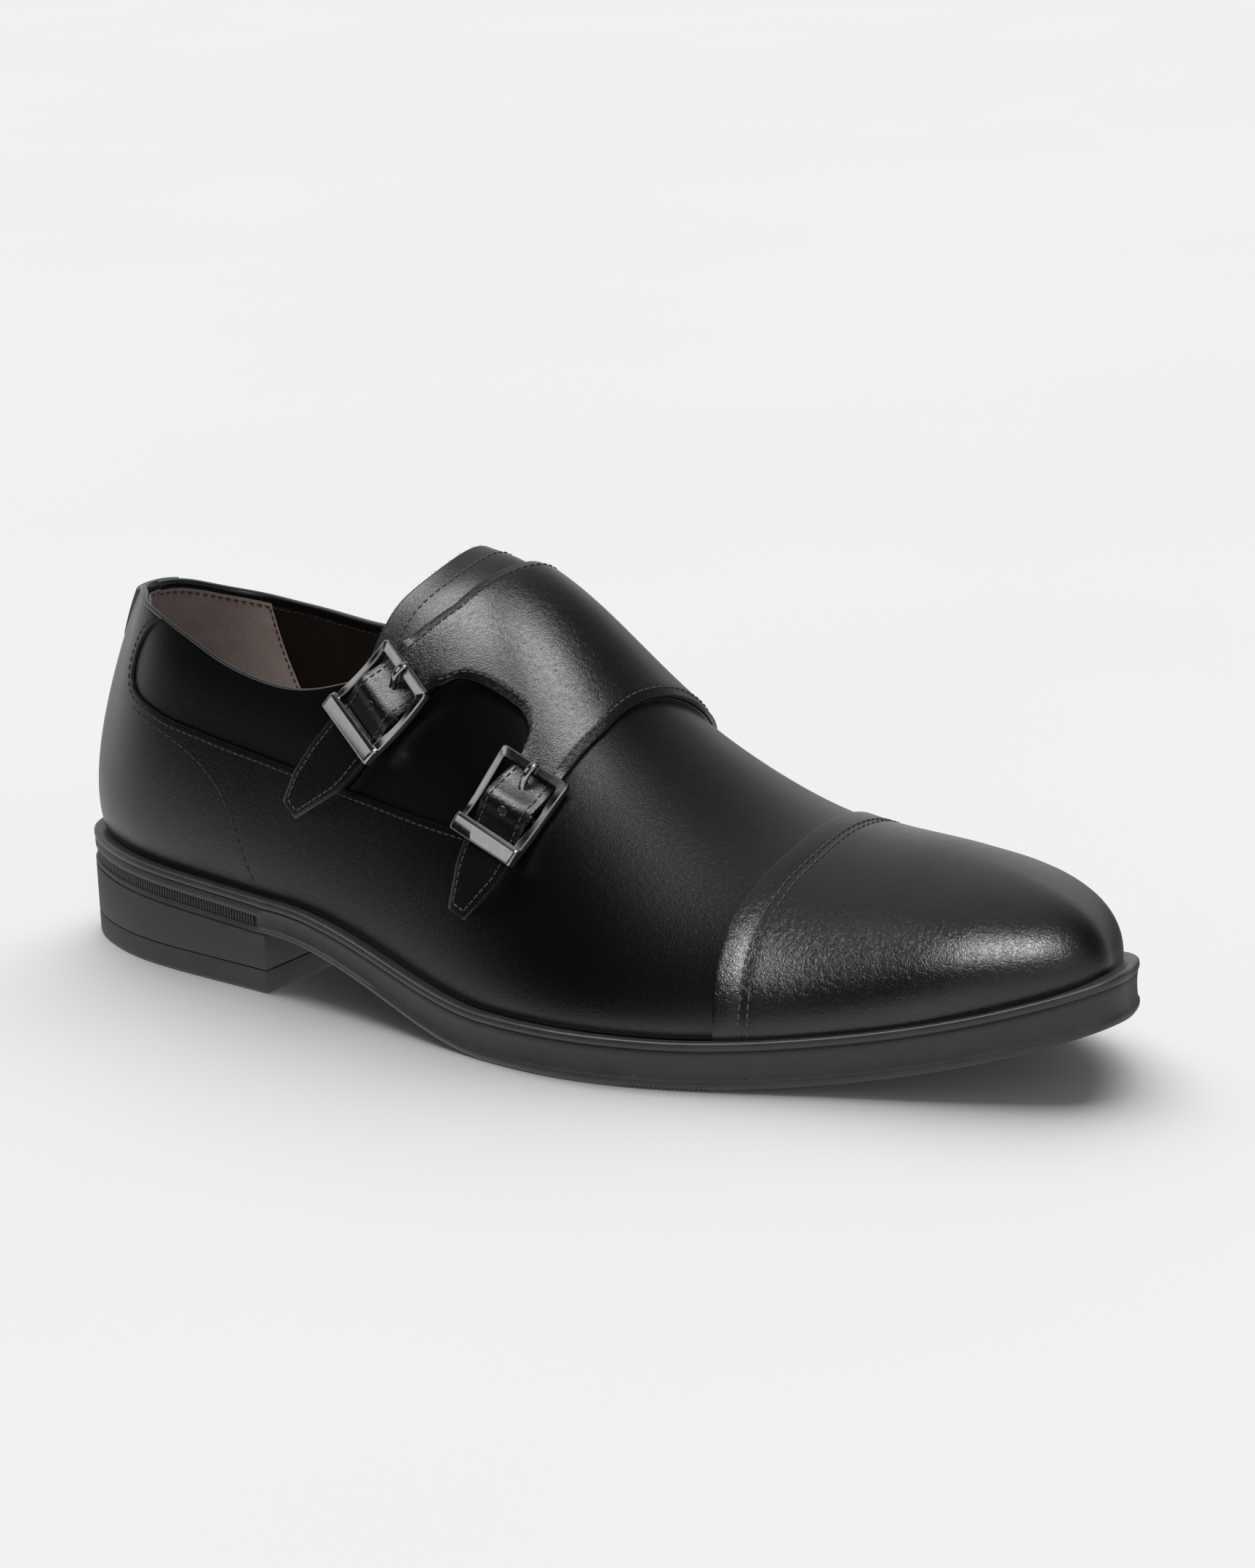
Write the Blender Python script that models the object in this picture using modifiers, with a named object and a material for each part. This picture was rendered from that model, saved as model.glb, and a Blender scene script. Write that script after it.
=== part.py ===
"""Double monk-strap shoe, right foot, about EU 42.5: the pieces that a shoemaker joins.

The shoe stands on the floor at z = 0 with its toe to +X and its outer (lateral) side to -Y.
Sizes are in millimetres and become metres in new_object(). In the tables x runs from 0 at the
back of the heel to LENGTH at the toe, and y is 0 on the line through the middle of the heel.
"""

import bmesh
import bpy
import numpy as np

MM = 0.001
SAME_PLACE = 0.00001    # metres
MERGE = 0.02            # millimetres
LATERAL, MEDIAL = -1, 1

# ---- driving sizes ---------------------------------------------------------------------------
LENGTH = 305.0          # outsole, heel to toe
TOE_TIP_Y = 0.5         # how far inwards the tip lies
HEEL_END = 79.0         # where the heel's breast stands
WAIST_START = 82.0      # the waist runs down from here
TREAD_START = 158.0     # to the flat of the tread
TREAD_END = 205.0       # the toe starts to rise here
HEEL_SEAT_BACK = 19.4   # underside of the sole at the back of the heel
HEEL_SEAT_FRONT = 15.5  # and at the breast
TOE_SPRING = 18.4       # underside of the sole at the tip
WALL_AT_HEEL = 6.7      # side wall of the sole
WALL_AT_TREAD = 9.5
TOP_PIECE = 6.0         # thickness of the heel's top piece
WELT = 2.3              # thickness of the welt
WELT_MARGIN = 3.3       # welt that shows outside the upper
TOE_MARGIN = 2.2        # more of it at the tip
TOE_MARGIN_START = 255.0
WELT_RUN = 8.0          # how far the welt runs in, from its outer edge
INSOLE = 2.6
GAP = 0.3               # between pieces that meet
UPPER_WALL = 2.0        # leather and lining
CAP_REAR = 218.0        # rear edge of the toe cap
CAP_LEATHER = 1.0
FLAP_LEATHER = 2.2
FLAP_LIFT = 0.5         # the flap lies this far off the upper
HEEL_AXIS = 38.0        # profiles behind this point fan round it
TOE_AXIS = 262.0        # and those ahead of this one round it
AXIS_BLEND = 4.0        # how softly they begin to fan at the heel
NEAR_RIDGE = 0.995      # normals are read this far up a profile at most

# x, half width on the lateral side, half width on the medial side
OUTLINE = (
    (2, 12.0, 10.0), (10, 20.8, 20.8), (30, 30.3, 31.3), (60, 35.2, 32.8), (90, 39.0, 31.5),
    (120, 44.3, 32.5), (150, 50.8, 38.5), (180, 53.6, 45.5), (210, 47.5, 49.0), (240, 35.5, 47.0),
    (265, 26.2, 40.5), (285, 18.2, 31.5), (298, 11.5, 18.5), (303.5, 5.5, 7.0),
)
# top line of the last: x, y, z. Over the opening it is only a guide for the side walls
RIDGE = (
    (38, 0.0, 132.0), (70, 0.5, 125.0), (100, 1.5, 117.0), (125, 2.5, 111.0), (139, 3.0, 106.0),
    (150, 3.5, 99.0), (163, 4.0, 87.5), (176, 5.0, 75.5), (190, 6.0, 65.5), (207, 7.5, 56.5),
    (228, 9.0, 51.0), (248, 9.5, 49.5), (262, 9.5, 48.0),
)
# how a profile leaves the feather line and arrives at the ridge, for the lateral side and then
# the medial side: x, outward lean in degrees, length of the side's pull, of the crown's pull
SECTIONS = (
    (0, 17, 29, 3, 17, 29, 3), (15, 19, 29, 3, 18, 29, 3), (35, 14, 33, 17, 11, 33, 17),
    (60, 9, 36, 20, 9, 36, 20), (90, 4, 36, 20, 4, 38, 18), (120, 3, 32, 22, 0, 36, 18),
    (150, 6, 24, 26, 2, 34, 18), (180, 10, 18, 30, 6, 24, 24), (210, 12, 16, 28, 8, 18, 28),
    (240, 14, 16, 22, 12, 17, 24), (265, 16, 16, 20, 15, 16, 21), (285, 12, 16, 18, 12, 16, 18),
    (302, 4, 14.5, 19, 4, 14.5, 19),
)
# height of the collar and of the tongue's edge: x at the feather line, lateral z, medial z
COLLAR = (
    (3, 92.5, 92.5), (10, 93.0, 91.0), (22, 93.0, 88.0), (34, 92.0, 85.5), (43, 89.5, 84.0),
    (52, 86.0, 83.0), (61, 82.0, 82.0), (70, 79.5, 81.0), (80, 78.0, 81.0), (90, 78.0, 83.0),
    (98, 80.5, 84.0), (102, 85.0, 87.0), (106, 93.0, 91.0), (110, 101.0, 96.5),
    (114, 107.5, 103.0), (118, 111.0, 109.5), (121, 113.0, 113.0),
)
THROAT = 121.0          # the upper is closed over the foot ahead of this
# edges of the flap, by distance from the ridge along the skin (lateral side negative):
# distance, x of the top edge, x of the front edge
FLAP = (
    (-20, 127.8, 170.8), (-8, 133.4, 172.0), (0, 136.5, 173.4), (10, 136.3, 174.8),
    (20, 133.0, 174.8), (30, 140.0, 172.8), (40, 150.0, 169.4),
)
FLAP_ROWS = (40, 33, 26, 20, 14, 8, 3, -2, -8, -14, -20)
# edge of the cut-out between the two straps: x, distance from the ridge
CUT_OUT = (
    (132.8, -37.8), (137.2, -35.2), (145.2, -33.8), (153.0, -32.9), (157.0, -34.8),
)
# a strap's middle line, from the flap to its tip: distance from the ridge, x, half width
REAR_STRAP = (
    (-37, 123.2, 7.5), (-50, 113.9, 7.2), (-63, 104.7, 7.3), (-70, 99.6, 7.3), (-83, 89.8, 2.9),
)
FRONT_STRAP = (
    (-41, 161.5, 6.0), (-47, 159.8, 7.0), (-55, 157.5, 7.2), (-68, 153.9, 7.3), (-75, 152.0, 6.6),
    (-86.2, 148.5, 3.2),
)
STRAP_COLUMNS = 3        # columns of faces across a strap
STRAP_SHARES = (0.28, 0.78)  # where the cut-out begins and ends along the flap's width
REAR_CENTRE_BAR = -48.8  # where each buckle's middle bar lies on the strap's middle line
FRONT_CENTRE_BAR = -53.3
STRAP_RISE = 2.3         # the strap's hump over the middle bar
HUMP_LENGTH = 4.2        # how far the hump spreads along the strap
HUMP_ROWS = (-10, -6, -3, 0, 3, 6, 10)
BUCKLE_WIDTH = 20.0
SIDE_BAR = 2.1           # width of the buckle's sides
FAR_BAR = 2.7            # of the bar nearer the ridge, on which the prong rests
NEAR_BAR = 4.9           # and of the bar that holds the strap's tail down
BUCKLE_LENGTH = 24.2     # along the strap
MIDDLE_BAR = 1.8


# ---- curves ----------------------------------------------------------------------------------
def natural_spline(table, x):
    """Each column of a table as a natural cubic spline of its first column, read at x."""
    rows = np.array(table, float)
    knots, values = rows[:, 0], rows[:, 1:]
    gaps = np.diff(knots)
    slopes = np.diff(values, axis=0) / gaps[:, None]
    system = np.eye(len(knots))
    right = np.zeros_like(values)
    for i in range(1, len(knots) - 1):
        system[i, i - 1:i + 2] = gaps[i - 1], 2 * (gaps[i - 1] + gaps[i]), gaps[i]
        right[i] = 6 * (slopes[i] - slopes[i - 1])
    bends = np.linalg.solve(system, right)
    x = np.atleast_1d(np.asarray(x, float))
    i = np.clip(np.searchsorted(knots, x, side="right") - 1, 0, len(knots) - 2)
    t, gap = (x - knots[i])[:, None], gaps[i][:, None]
    first = slopes[i] - gap * (2 * bends[i] + bends[i + 1]) / 6
    return values[i] + t * (first + t * (bends[i] / 2 + t * (bends[i + 1] - bends[i]) / (6 * gap)))


def column(table, number, x):
    return natural_spline(table, x)[:, number - 1]


def ease(x, start, end):
    """0 before start, 1 after end, smooth between."""
    t = np.clip((np.asarray(x, float) - start) / (end - start), 0, 1)
    return t * t * (3 - 2 * t)


def unit(vectors):
    return vectors / np.maximum(np.linalg.norm(vectors, axis=-1, keepdims=True), 1e-12)


# ---- the sole's heights ----------------------------------------------------------------------
def heel_seat(x):
    return HEEL_SEAT_FRONT + (HEEL_SEAT_BACK - HEEL_SEAT_FRONT) * (1 - np.asarray(x) / HEEL_END)


def sole_bottom(x):
    x = np.asarray(x, float)
    waist = HEEL_SEAT_FRONT * (1 - ease(x, WAIST_START, TREAD_START))
    toe = TOE_SPRING * (np.clip(x - TREAD_END, 0, None) / (LENGTH - TREAD_END)) ** 2
    return np.where(x < HEEL_END, heel_seat(x), waist + toe)


def wall_top(x):
    growth = (WALL_AT_TREAD - WALL_AT_HEEL) * ease(x, WAIST_START, TREAD_START)
    return sole_bottom(x) + WALL_AT_HEEL + growth


def feather(x):
    """Height of the line where the upper meets the welt."""
    return wall_top(x) + WELT


# ---- the plan --------------------------------------------------------------------------------
def closed_outline(count=1200):
    """The outsole's outline, counter-clockwise from the back of the heel by the lateral side."""
    lateral = [(x, -wide) for x, wide, _ in OUTLINE]
    medial = [(x, wide) for x, _, wide in reversed(OUTLINE)]
    loop = np.array([(0, 0)] + lateral + [(LENGTH, TOE_TIP_Y)] + medial + [(0, 0)], float)
    # two turns of the loop, read in their middle, make the spline close smoothly
    steps = np.sqrt(np.linalg.norm(np.diff(loop, axis=0), axis=1))
    twice = np.vstack([loop, loop[1:]])
    along = np.concatenate([[0], np.cumsum(np.tile(steps, 2))])
    turn = along[-1] / 2
    start = turn / 2
    points = natural_spline(np.column_stack([along, twice]), start + turn * np.arange(count) / count)
    return np.roll(points, -int(np.argmin(points[:, 0])), axis=0)


PLAN = closed_outline()
CENTRE_Y = (PLAN[:, 1].max() + PLAN[:, 1].min()) / 2


def inset_plan(distance):
    """The outline moved in by a distance, as (lateral points, medial points), both by rising x."""
    along = unit(np.roll(PLAN, -1, 0) - np.roll(PLAN, 1, 0))
    loop = PLAN + np.column_stack([-along[:, 1], along[:, 0]]) * np.reshape(distance, (-1, 1))
    loop = np.roll(loop, -int(np.argmin(loop[:, 0])), axis=0)
    tip = int(np.argmax(loop[:, 0]))
    return loop[:tip + 1], np.vstack([loop[tip:], loop[:1]])[::-1]


def stations(start, end, count):
    """Places along the shoe, closer together towards both ends."""
    return start + (end - start) * (1 - np.cos(np.pi * np.arange(count + 1) / count)) / 2


class Form:
    """An outline inside the outsole's: where its two sides lie at each x."""

    def __init__(self, distance):
        self.lateral, self.medial = inset_plan(distance)
        self.start, self.end = self.lateral[0, 0], self.lateral[-1, 0]

    def y(self, x, side):
        points = self.lateral if side == LATERAL else self.medial
        return np.interp(x, points[:, 0], points[:, 1])

    def loop(self, count):
        """x, y of a closed loop: lateral stations from the heel to the toe, then medial ones."""
        x = stations(self.start, self.end, count)
        forth = np.column_stack([x, self.y(x, LATERAL)])
        back = np.column_stack([x, self.y(x, MEDIAL)])[-2:0:-1]
        return np.vstack([forth, back])


TOWARDS_TIP = np.clip((PLAN[:, 0] - TOE_MARGIN_START) / (LENGTH - TOE_MARGIN_START), 0, 1)
FEATHER_INSET = WELT_MARGIN + TOE_MARGIN * TOWARDS_TIP ** 2
FEATHER = Form(FEATHER_INSET)


# ---- the last: the skin of the upper ---------------------------------------------------------
def ridge(x):
    """The ridge point of the profiles at x, and how the ridge falls there."""
    top_x = HEEL_AXIS + AXIS_BLEND * np.logaddexp(0, (x - HEEL_AXIS) / AXIS_BLEND)
    top_x = np.minimum(top_x, TOE_AXIS)
    y, z = natural_spline(RIDGE, top_x).T
    step = 0.5
    fall = (column(RIDGE, 2, top_x + step) - column(RIDGE, 2, top_x - step)) / (2 * step)
    return np.column_stack([top_x, y, z]), fall


def profile_frame(x, side):
    """The four control points of each profile, from the feather line to the ridge."""
    foot = np.column_stack([x, FEATHER.y(x, side), feather(x)])
    top, fall = ridge(x)
    out = unit(foot[:, :2] - top[:, :2])
    columns = slice(0, 3) if side == LATERAL else slice(3, 6)
    lean, pull, crown = natural_spline(SECTIONS, np.minimum(x, SECTIONS[-1][0]))[:, columns].T
    lean = np.radians(lean)
    rise = np.column_stack([out * np.sin(lean)[:, None], np.cos(lean)])
    reach = np.column_stack([out, out[:, 0] * fall])
    return foot, foot + rise * pull[:, None], top + reach * crown[:, None], top


def skin(x, side, v):
    """Points of the skin: profiles at x, at v from 0 (feather line) to 1 (ridge). v is the same
    for every profile or has a row for each."""
    x = np.asarray(x, float)
    a, b, c, d = (point[:, None, :] for point in profile_frame(x, side))
    v = np.broadcast_to(v, (len(x), np.shape(v)[-1]))[:, :, None]
    return a * (1 - v) ** 3 + 3 * b * v * (1 - v) ** 2 + 3 * c * v ** 2 * (1 - v) + d * v ** 3


def v_at_height(x, side, z):
    """The v at which each profile reaches a height."""
    v = np.linspace(0, 1, 81)
    heights = np.maximum.accumulate(skin(x, side, v)[:, :, 2], axis=1)
    return np.array([np.interp(level, row, v) for level, row in zip(z, heights)])


def skin_normal(x, side, v):
    """Outward unit normals of the skin, for equal-length x and v."""
    step, v_step = 0.4, 0.01
    low = np.clip(v - v_step, 0, 1)[:, None]
    high = np.clip(v + v_step, 0, 1)[:, None]
    back = np.maximum(x - step, FEATHER.start)
    front = np.minimum(x + step, FEATHER.end)
    along = skin(front, side, v[:, None])[:, 0] - skin(back, side, v[:, None])[:, 0]
    up = skin(x, side, high)[:, 0] - skin(x, side, low)[:, 0]
    return unit(np.cross(along, up)) * -side


def ridge_normal(x):
    fall = ridge(x)[1]
    return unit(np.column_stack([-fall, np.zeros_like(fall), np.ones_like(fall)]))


def by_girth(x, girth, lift):
    """Points at signed distances from the ridge along the skin, lifted off it."""
    v = np.linspace(1, 0, 121)
    points = []
    for place, distance, height in zip(np.ravel(x), np.ravel(girth), np.ravel(lift)):
        side = LATERAL if distance <= 0 else MEDIAL
        line = skin([place], side, v)[0]
        lengths = np.linalg.norm(np.diff(line, axis=0), axis=1)
        here = np.interp(abs(distance), np.concatenate([[0], np.cumsum(lengths)]), v)
        normal = skin_normal(np.array([place]), side, np.array([min(here, NEAR_RIDGE)]))[0]
        points.append(skin([place], side, [here])[0, 0] + normal * height)
    return np.array(points).reshape(np.shape(x) + (3,))


# ---- making objects --------------------------------------------------------------------------
def clear_scene():
    for item in list(bpy.data.objects):
        bpy.data.objects.remove(item, do_unlink=True)


def new_collection(name):
    made = bpy.data.collections.new(name)
    bpy.context.scene.collection.children.link(made)
    return made


def new_material(name, colour, roughness, metallic=0.0):
    material = bpy.data.materials.new(name)
    material.use_nodes = True
    shader = material.node_tree.nodes["Principled BSDF"]
    shader.inputs["Base Color"].default_value = (*colour, 1)
    shader.inputs["Roughness"].default_value = roughness
    shader.inputs["Metallic"].default_value = metallic
    return material


def new_object(name, form, material, collection):
    """An object from a bmesh in shoe millimetres, set down on its own place in metres."""
    bmesh.ops.translate(form, verts=form.verts, vec=(-LENGTH / 2, -CENTRE_Y, 0))
    bmesh.ops.scale(form, verts=form.verts, vec=(MM, MM, MM))
    bmesh.ops.remove_doubles(form, verts=form.verts, dist=SAME_PLACE)
    mesh = bpy.data.meshes.new(name)
    form.to_mesh(mesh)
    form.free()
    mesh.materials.append(material)
    made = bpy.data.objects.new(name, mesh)
    collection.objects.link(made)
    return made


def add_sheet(form, rows):
    """Quads over rows of points."""
    rows = [[form.verts.new(point) for point in row] for row in rows]
    for here, there in zip(rows, rows[1:]):
        for k in range(len(here) - 1):
            form.faces.new((here[k], there[k], there[k + 1], here[k + 1]))


def loft(rings):
    """A closed solid through loops of equal length, each end closed by strips across it."""
    form = bmesh.new()
    rows = [[form.verts.new(point) for point in ring] for ring in rings]
    size = len(rows[0])
    for lower, upper in zip(rows, rows[1:]):
        for k in range(size):
            form.faces.new((lower[k], lower[(k + 1) % size], upper[(k + 1) % size], upper[k]))
    for row, turned in ((rows[0], True), (rows[-1], False)):
        for k in range(size // 2):
            strip = (row[k], row[k + 1], row[size - k - 1], row[(size - k) % size])
            corners = list(dict.fromkeys(strip))
            form.faces.new(corners[::-1] if turned else corners)
    return form


def add_solidify(made, thickness, outwards):
    shell = made.modifiers.new("leather", "SOLIDIFY")
    shell.thickness = thickness * MM
    shell.offset = 1 if outwards else -1
    shell.use_even_offset = True
    shell.use_rim = True


def plate(cells, lows, highs):
    """A plate with windows: cells[j][i] says whether the cell between the lines i and i + 1 and
    the rows j and j + 1 is there. lows and highs are the points of its two faces."""
    form = bmesh.new()
    full = {(j, i) for j, row in enumerate(cells) for i, here in enumerate(row) if here}
    used = sorted({(j + down, i + right) for j, i in full for down in (0, 1) for right in (0, 1)})
    under, over = ({key: form.verts.new(points[key]) for key in used} for points in (lows, highs))
    for j, i in sorted(full):
        corners = [(j, i), (j, i + 1), (j + 1, i + 1), (j + 1, i)]
        form.faces.new([over[key] for key in corners])
        form.faces.new([under[key] for key in reversed(corners)])
        beside = ((j - 1, i), (j, i + 1), (j + 1, i), (j, i - 1))
        for k, neighbour in enumerate(beside):
            if neighbour not in full:
                a, b = corners[k], corners[(k + 1) % 4]
                form.faces.new((under[a], under[b], over[b], over[a]))
    bmesh.ops.recalc_face_normals(form, faces=form.faces)
    return form


# ---- the bottom: sole, welt, insole and heel -------------------------------------------------
SIDE_STATIONS = 34
HEEL_STATIONS = 12

# side wall of the outsole, from its tread up: inset from the outline, share of the height. A
# bead stands out below, then the wall is slightly hollow
WALL_SECTION = ((2.0, 0.0), (0.3, 0.12), (0.0, 0.24), (0.9, 0.38), (0.9, 0.84), (0.5, 1.0))
# section of the welt: inset from the outline, height above the side wall's top
WELT_SECTION = (
    (0.5, 0.0), (0.0, 0.6), (0.0, 1.3), (0.6, WELT - GAP), (WELT_RUN, WELT - GAP),
    (WELT_RUN, 0.0), (0.5, 0.0),
)
TOP_PIECE_SECTION = ((0.8, 0.0), (0.0, 0.8), (0.0, TOP_PIECE - 0.5), (0.4, TOP_PIECE))
BLOCK_SECTION = ((0.4, TOP_PIECE + GAP), (0.0, TOP_PIECE + 1.2))
BLOCK_TOP_INSET = 0.2
INSOLE_CLEARANCE = 0.7   # between the insole's edge and the lining


def flat(height):
    return lambda x: np.full_like(x, height)


def ring(distance, height):
    """A loop inside the outline, at heights given by a function of x."""
    loop = Form(distance).loop(SIDE_STATIONS)
    return np.column_stack([loop, height(loop[:, 0])])


def heel_ring(inset, height):
    """The heel's outline, cut straight across at the breast."""
    form = Form(inset)
    turn = np.pi / 2 * np.arange(HEEL_STATIONS + 1) / HEEL_STATIONS
    x = form.start + (HEEL_END - form.start) * (1 - np.cos(turn))
    forth = np.column_stack([x, form.y(x, LATERAL)])
    back = np.column_stack([x, form.y(x, MEDIAL)])[:0:-1]
    loop = np.vstack([forth, back])
    return np.column_stack([loop, height(loop[:, 0])])


def make_outsole(material, collection):
    def at(share):
        return lambda x: sole_bottom(x) * (1 - share) + (wall_top(x) - GAP) * share
    rings = [ring(inset, at(share)) for inset, share in WALL_SECTION]
    return new_object("outsole", loft(rings), material, collection)


def make_welt(material, collection):
    def above(rise):
        return lambda x: wall_top(x) + rise
    rings = [ring(inset, above(rise)) for inset, rise in WELT_SECTION]
    sections = np.array(rings).transpose(1, 0, 2)
    form = bmesh.new()
    add_sheet(form, np.concatenate([sections, sections[:1]]))
    bmesh.ops.remove_doubles(form, verts=form.verts, dist=MERGE)
    bmesh.ops.recalc_face_normals(form, faces=form.faces)
    return new_object("welt", form, material, collection)


def make_insole(material, collection):
    """It fills the hole in the welt and lies on the welt's inner edge."""
    hole = WELT_RUN + 2 * GAP
    edge = FEATHER_INSET + UPPER_WALL + INSOLE_CLEARANCE
    rings = [ring(hole, wall_top), ring(hole, feather), ring(edge, feather),
             ring(edge, lambda x: feather(x) + INSOLE)]
    return new_object("insole", loft(rings), material, collection)


def make_heel_block(material, collection):
    rings = [heel_ring(inset, flat(height)) for inset, height in BLOCK_SECTION]
    under_sole = heel_ring(BLOCK_TOP_INSET, lambda x: heel_seat(x) - GAP)
    return new_object("heel_block", loft(rings + [under_sole]), material, collection)


def make_top_piece(material, collection):
    rings = [heel_ring(inset, flat(height)) for inset, height in TOP_PIECE_SECTION]
    return new_object("heel_top_piece", loft(rings), material, collection)


# ---- the upper and its toe cap ---------------------------------------------------------------
UPPER_ROWS = 11
UPPER_STATIONS = 34
THROAT_STATIONS = (90, 95, 98, 100, 102, 104, 106, 108, 110, 112, 114, 116, 118, THROAT)
LEAST_STEP = 3.0         # other stations keep this far from those of the throat and the cap


def upper_stations():
    """Places of the profiles, with more of them at the throat, where the tongue's edge climbs."""
    wanted = THROAT_STATIONS + (CAP_REAR,)
    even = stations(FEATHER.start, FEATHER.end, UPPER_STATIONS)
    others = [x for x in even if min(abs(x - place) for place in wanted) > LEAST_STEP]
    return np.array(sorted(others + list(wanted)))


def profile_rows(x, side):
    """Points of each profile from the feather line up to the collar, or to the ridge."""
    collar = column(COLLAR, 1 if side == LATERAL else 2, x)
    top = np.where(x >= THROAT, 1.0, v_at_height(x, side, collar))
    return skin(x, side, top[:, None] * np.linspace(0, 1, UPPER_ROWS + 1))


def make_upper(material, collection):
    x = upper_stations()
    rows = np.vstack([profile_rows(x, LATERAL), profile_rows(x[-2:0:-1], MEDIAL)])
    form = bmesh.new()
    add_sheet(form, np.concatenate([rows, rows[:1]]))
    bmesh.ops.remove_doubles(form, verts=form.verts, dist=MERGE)
    made = new_object("upper", form, material, collection)
    add_solidify(made, UPPER_WALL, outwards=False)
    return made


def cap_rows(x, side):
    """Profiles of the cap's inner face, a gap off the skin and clear of the welt."""
    v = np.linspace(0, 1, UPPER_ROWS + 1)
    points = skin(x, side, v)
    for k in range(UPPER_ROWS):
        points[:, k] += skin_normal(x, side, np.full(len(x), v[k])) * GAP
        points[:, k, 2] = np.maximum(points[:, k, 2], feather(x) + 2 * GAP)
    points[:, -1] += ridge_normal(x) * GAP
    return points


def make_toe_cap(material, collection):
    x = upper_stations()
    x = x[x >= CAP_REAR]
    form = bmesh.new()
    add_sheet(form, np.vstack([cap_rows(x, LATERAL), cap_rows(x[-2::-1], MEDIAL)]))
    bmesh.ops.remove_doubles(form, verts=form.verts, dist=MERGE)
    made = new_object("toe_cap", form, material, collection)
    add_solidify(made, CAP_LEATHER, outwards=True)
    return made


# ---- the flap and its two straps -------------------------------------------------------------
def strap_frame(strap, girth):
    """On a strap's middle line: x, half width, the steps in x and girth for 1 mm across it and
    the length along it of 1 mm of girth."""
    rows = [(-distance, x, half) for distance, x, half in strap]
    x, half = natural_spline(rows, -girth)[0]
    x_below = natural_spline(rows, 1 - girth)[0, 0]
    centre, forwards, upwards, below = by_girth(
        np.array([x, x + 1, x, x_below]), np.array([girth, girth, girth + 1, girth - 1]), np.zeros(4))
    steps = np.column_stack([forwards - centre, upwards - centre])
    normal = np.cross(steps[:, 0], steps[:, 1])
    across = unit(np.cross(below - centre, normal))
    across = across if across[0] > 0 else -across
    turn = np.linalg.lstsq(steps, across, rcond=None)[0]
    return x, half, turn, np.linalg.norm(below - centre)


def strap_section(strap, girth):
    """x and girth of points straight across a strap, from its rear edge to its front edge."""
    x, half, turn, _ = strap_frame(strap, girth)
    across = np.linspace(-half, half, STRAP_COLUMNS + 1)
    return np.column_stack([x + across * turn[0], girth + across * turn[1]])


def strap_rows(strap, centre_bar):
    """Distances from the ridge of a strap's rows, each with its height off the skin: the strap
    humps over the buckle's middle bar."""
    per_girth = strap_frame(strap, centre_bar)[3]
    lengths = [-(girth - centre_bar) * per_girth for girth, _, _ in strap[1:]]
    beyond = [length for length in lengths if abs(length) > HUMP_ROWS[-1] + 1]
    for length in sorted(beyond + list(HUMP_ROWS)):
        hump = STRAP_RISE * np.exp(-(length / HUMP_LENGTH) ** 2)
        yield centre_bar - length / per_girth, FLAP_LIFT + hump


def make_flap(material, collection):
    edge = np.vstack([
        strap_section(REAR_STRAP, REAR_STRAP[0][0]), CUT_OUT,
        strap_section(FRONT_STRAP, FRONT_STRAP[0][0]),
    ])
    start, end = STRAP_SHARES
    share = np.concatenate([
        np.linspace(0, start, STRAP_COLUMNS + 1), np.linspace(start, end, len(CUT_OUT) + 2)[1:-1],
        np.linspace(end, 1, STRAP_COLUMNS + 1),
    ])
    places = []
    for girth in FLAP_ROWS:
        top, front = natural_spline(FLAP, girth)[0]
        places.append(np.column_stack([top + (front - top) * share, np.full(len(share), girth)]))
    last = places[-1]
    places += [last + (edge - last) * share for share in (0.35, 0.7, 1.0)]
    form = bmesh.new()

    def add_row(place, lift):
        return [form.verts.new(p) for p in by_girth(*place.T, np.full(len(place), lift))]

    def join(here, there):
        for k in range(len(here) - 1):
            form.faces.new((there[k], there[k + 1], here[k + 1], here[k]))

    rows = [add_row(place, FLAP_LIFT) for place in places]
    for here, there in zip(rows, rows[1:]):
        join(here, there)
    straps = (
        (REAR_STRAP, REAR_CENTRE_BAR, rows[-1][:STRAP_COLUMNS + 1]),
        (FRONT_STRAP, FRONT_CENTRE_BAR, rows[-1][-STRAP_COLUMNS - 1:]),
    )
    for strap, centre_bar, row in straps:
        for girth, lift in strap_rows(strap, centre_bar):
            if girth < strap[0][0] - 1:
                below = add_row(strap_section(strap, girth), lift)
                join(row, below)
                row = below
    made = new_object("monk_flap", form, material, collection)
    add_solidify(made, FLAP_LEATHER, outwards=True)
    return made


# ---- the buckles -----------------------------------------------------------------------------
STRAP_TOP = FLAP_LIFT + FLAP_LEATHER
FRAME_LOW = STRAP_TOP + 2 * GAP   # the end bars clear the strap below them
FRAME_HIGH = FRAME_LOW + 2.0
SIDE_LOW, SIDE_HIGH = 1.4, 3.5    # the sides beside the middle bar
BAR_LOW, BAR_HIGH = 0.7, 1.9      # and the middle bar, under the strap
SIDE_DROP = 0.6                   # the end bars' undersides turn down at the sides
BAR_SHOULDER = 0.5                # the middle bar drops to its level this near to the sides
HALF = BUCKLE_LENGTH / 2
# rows of the frame along the strap, from the far bar down: place, what follows this row
BUCKLE_ROWS = (
    (-HALF, "bar"), (-HALF + FAR_BAR, "window"), (-5.5, "window"), (-MIDDLE_BAR / 2, "bar"),
    (MIDDLE_BAR / 2, "window"), (4.2, "window"), (HALF - NEAR_BAR, "bar"), (HALF, "end"),
)
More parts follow.
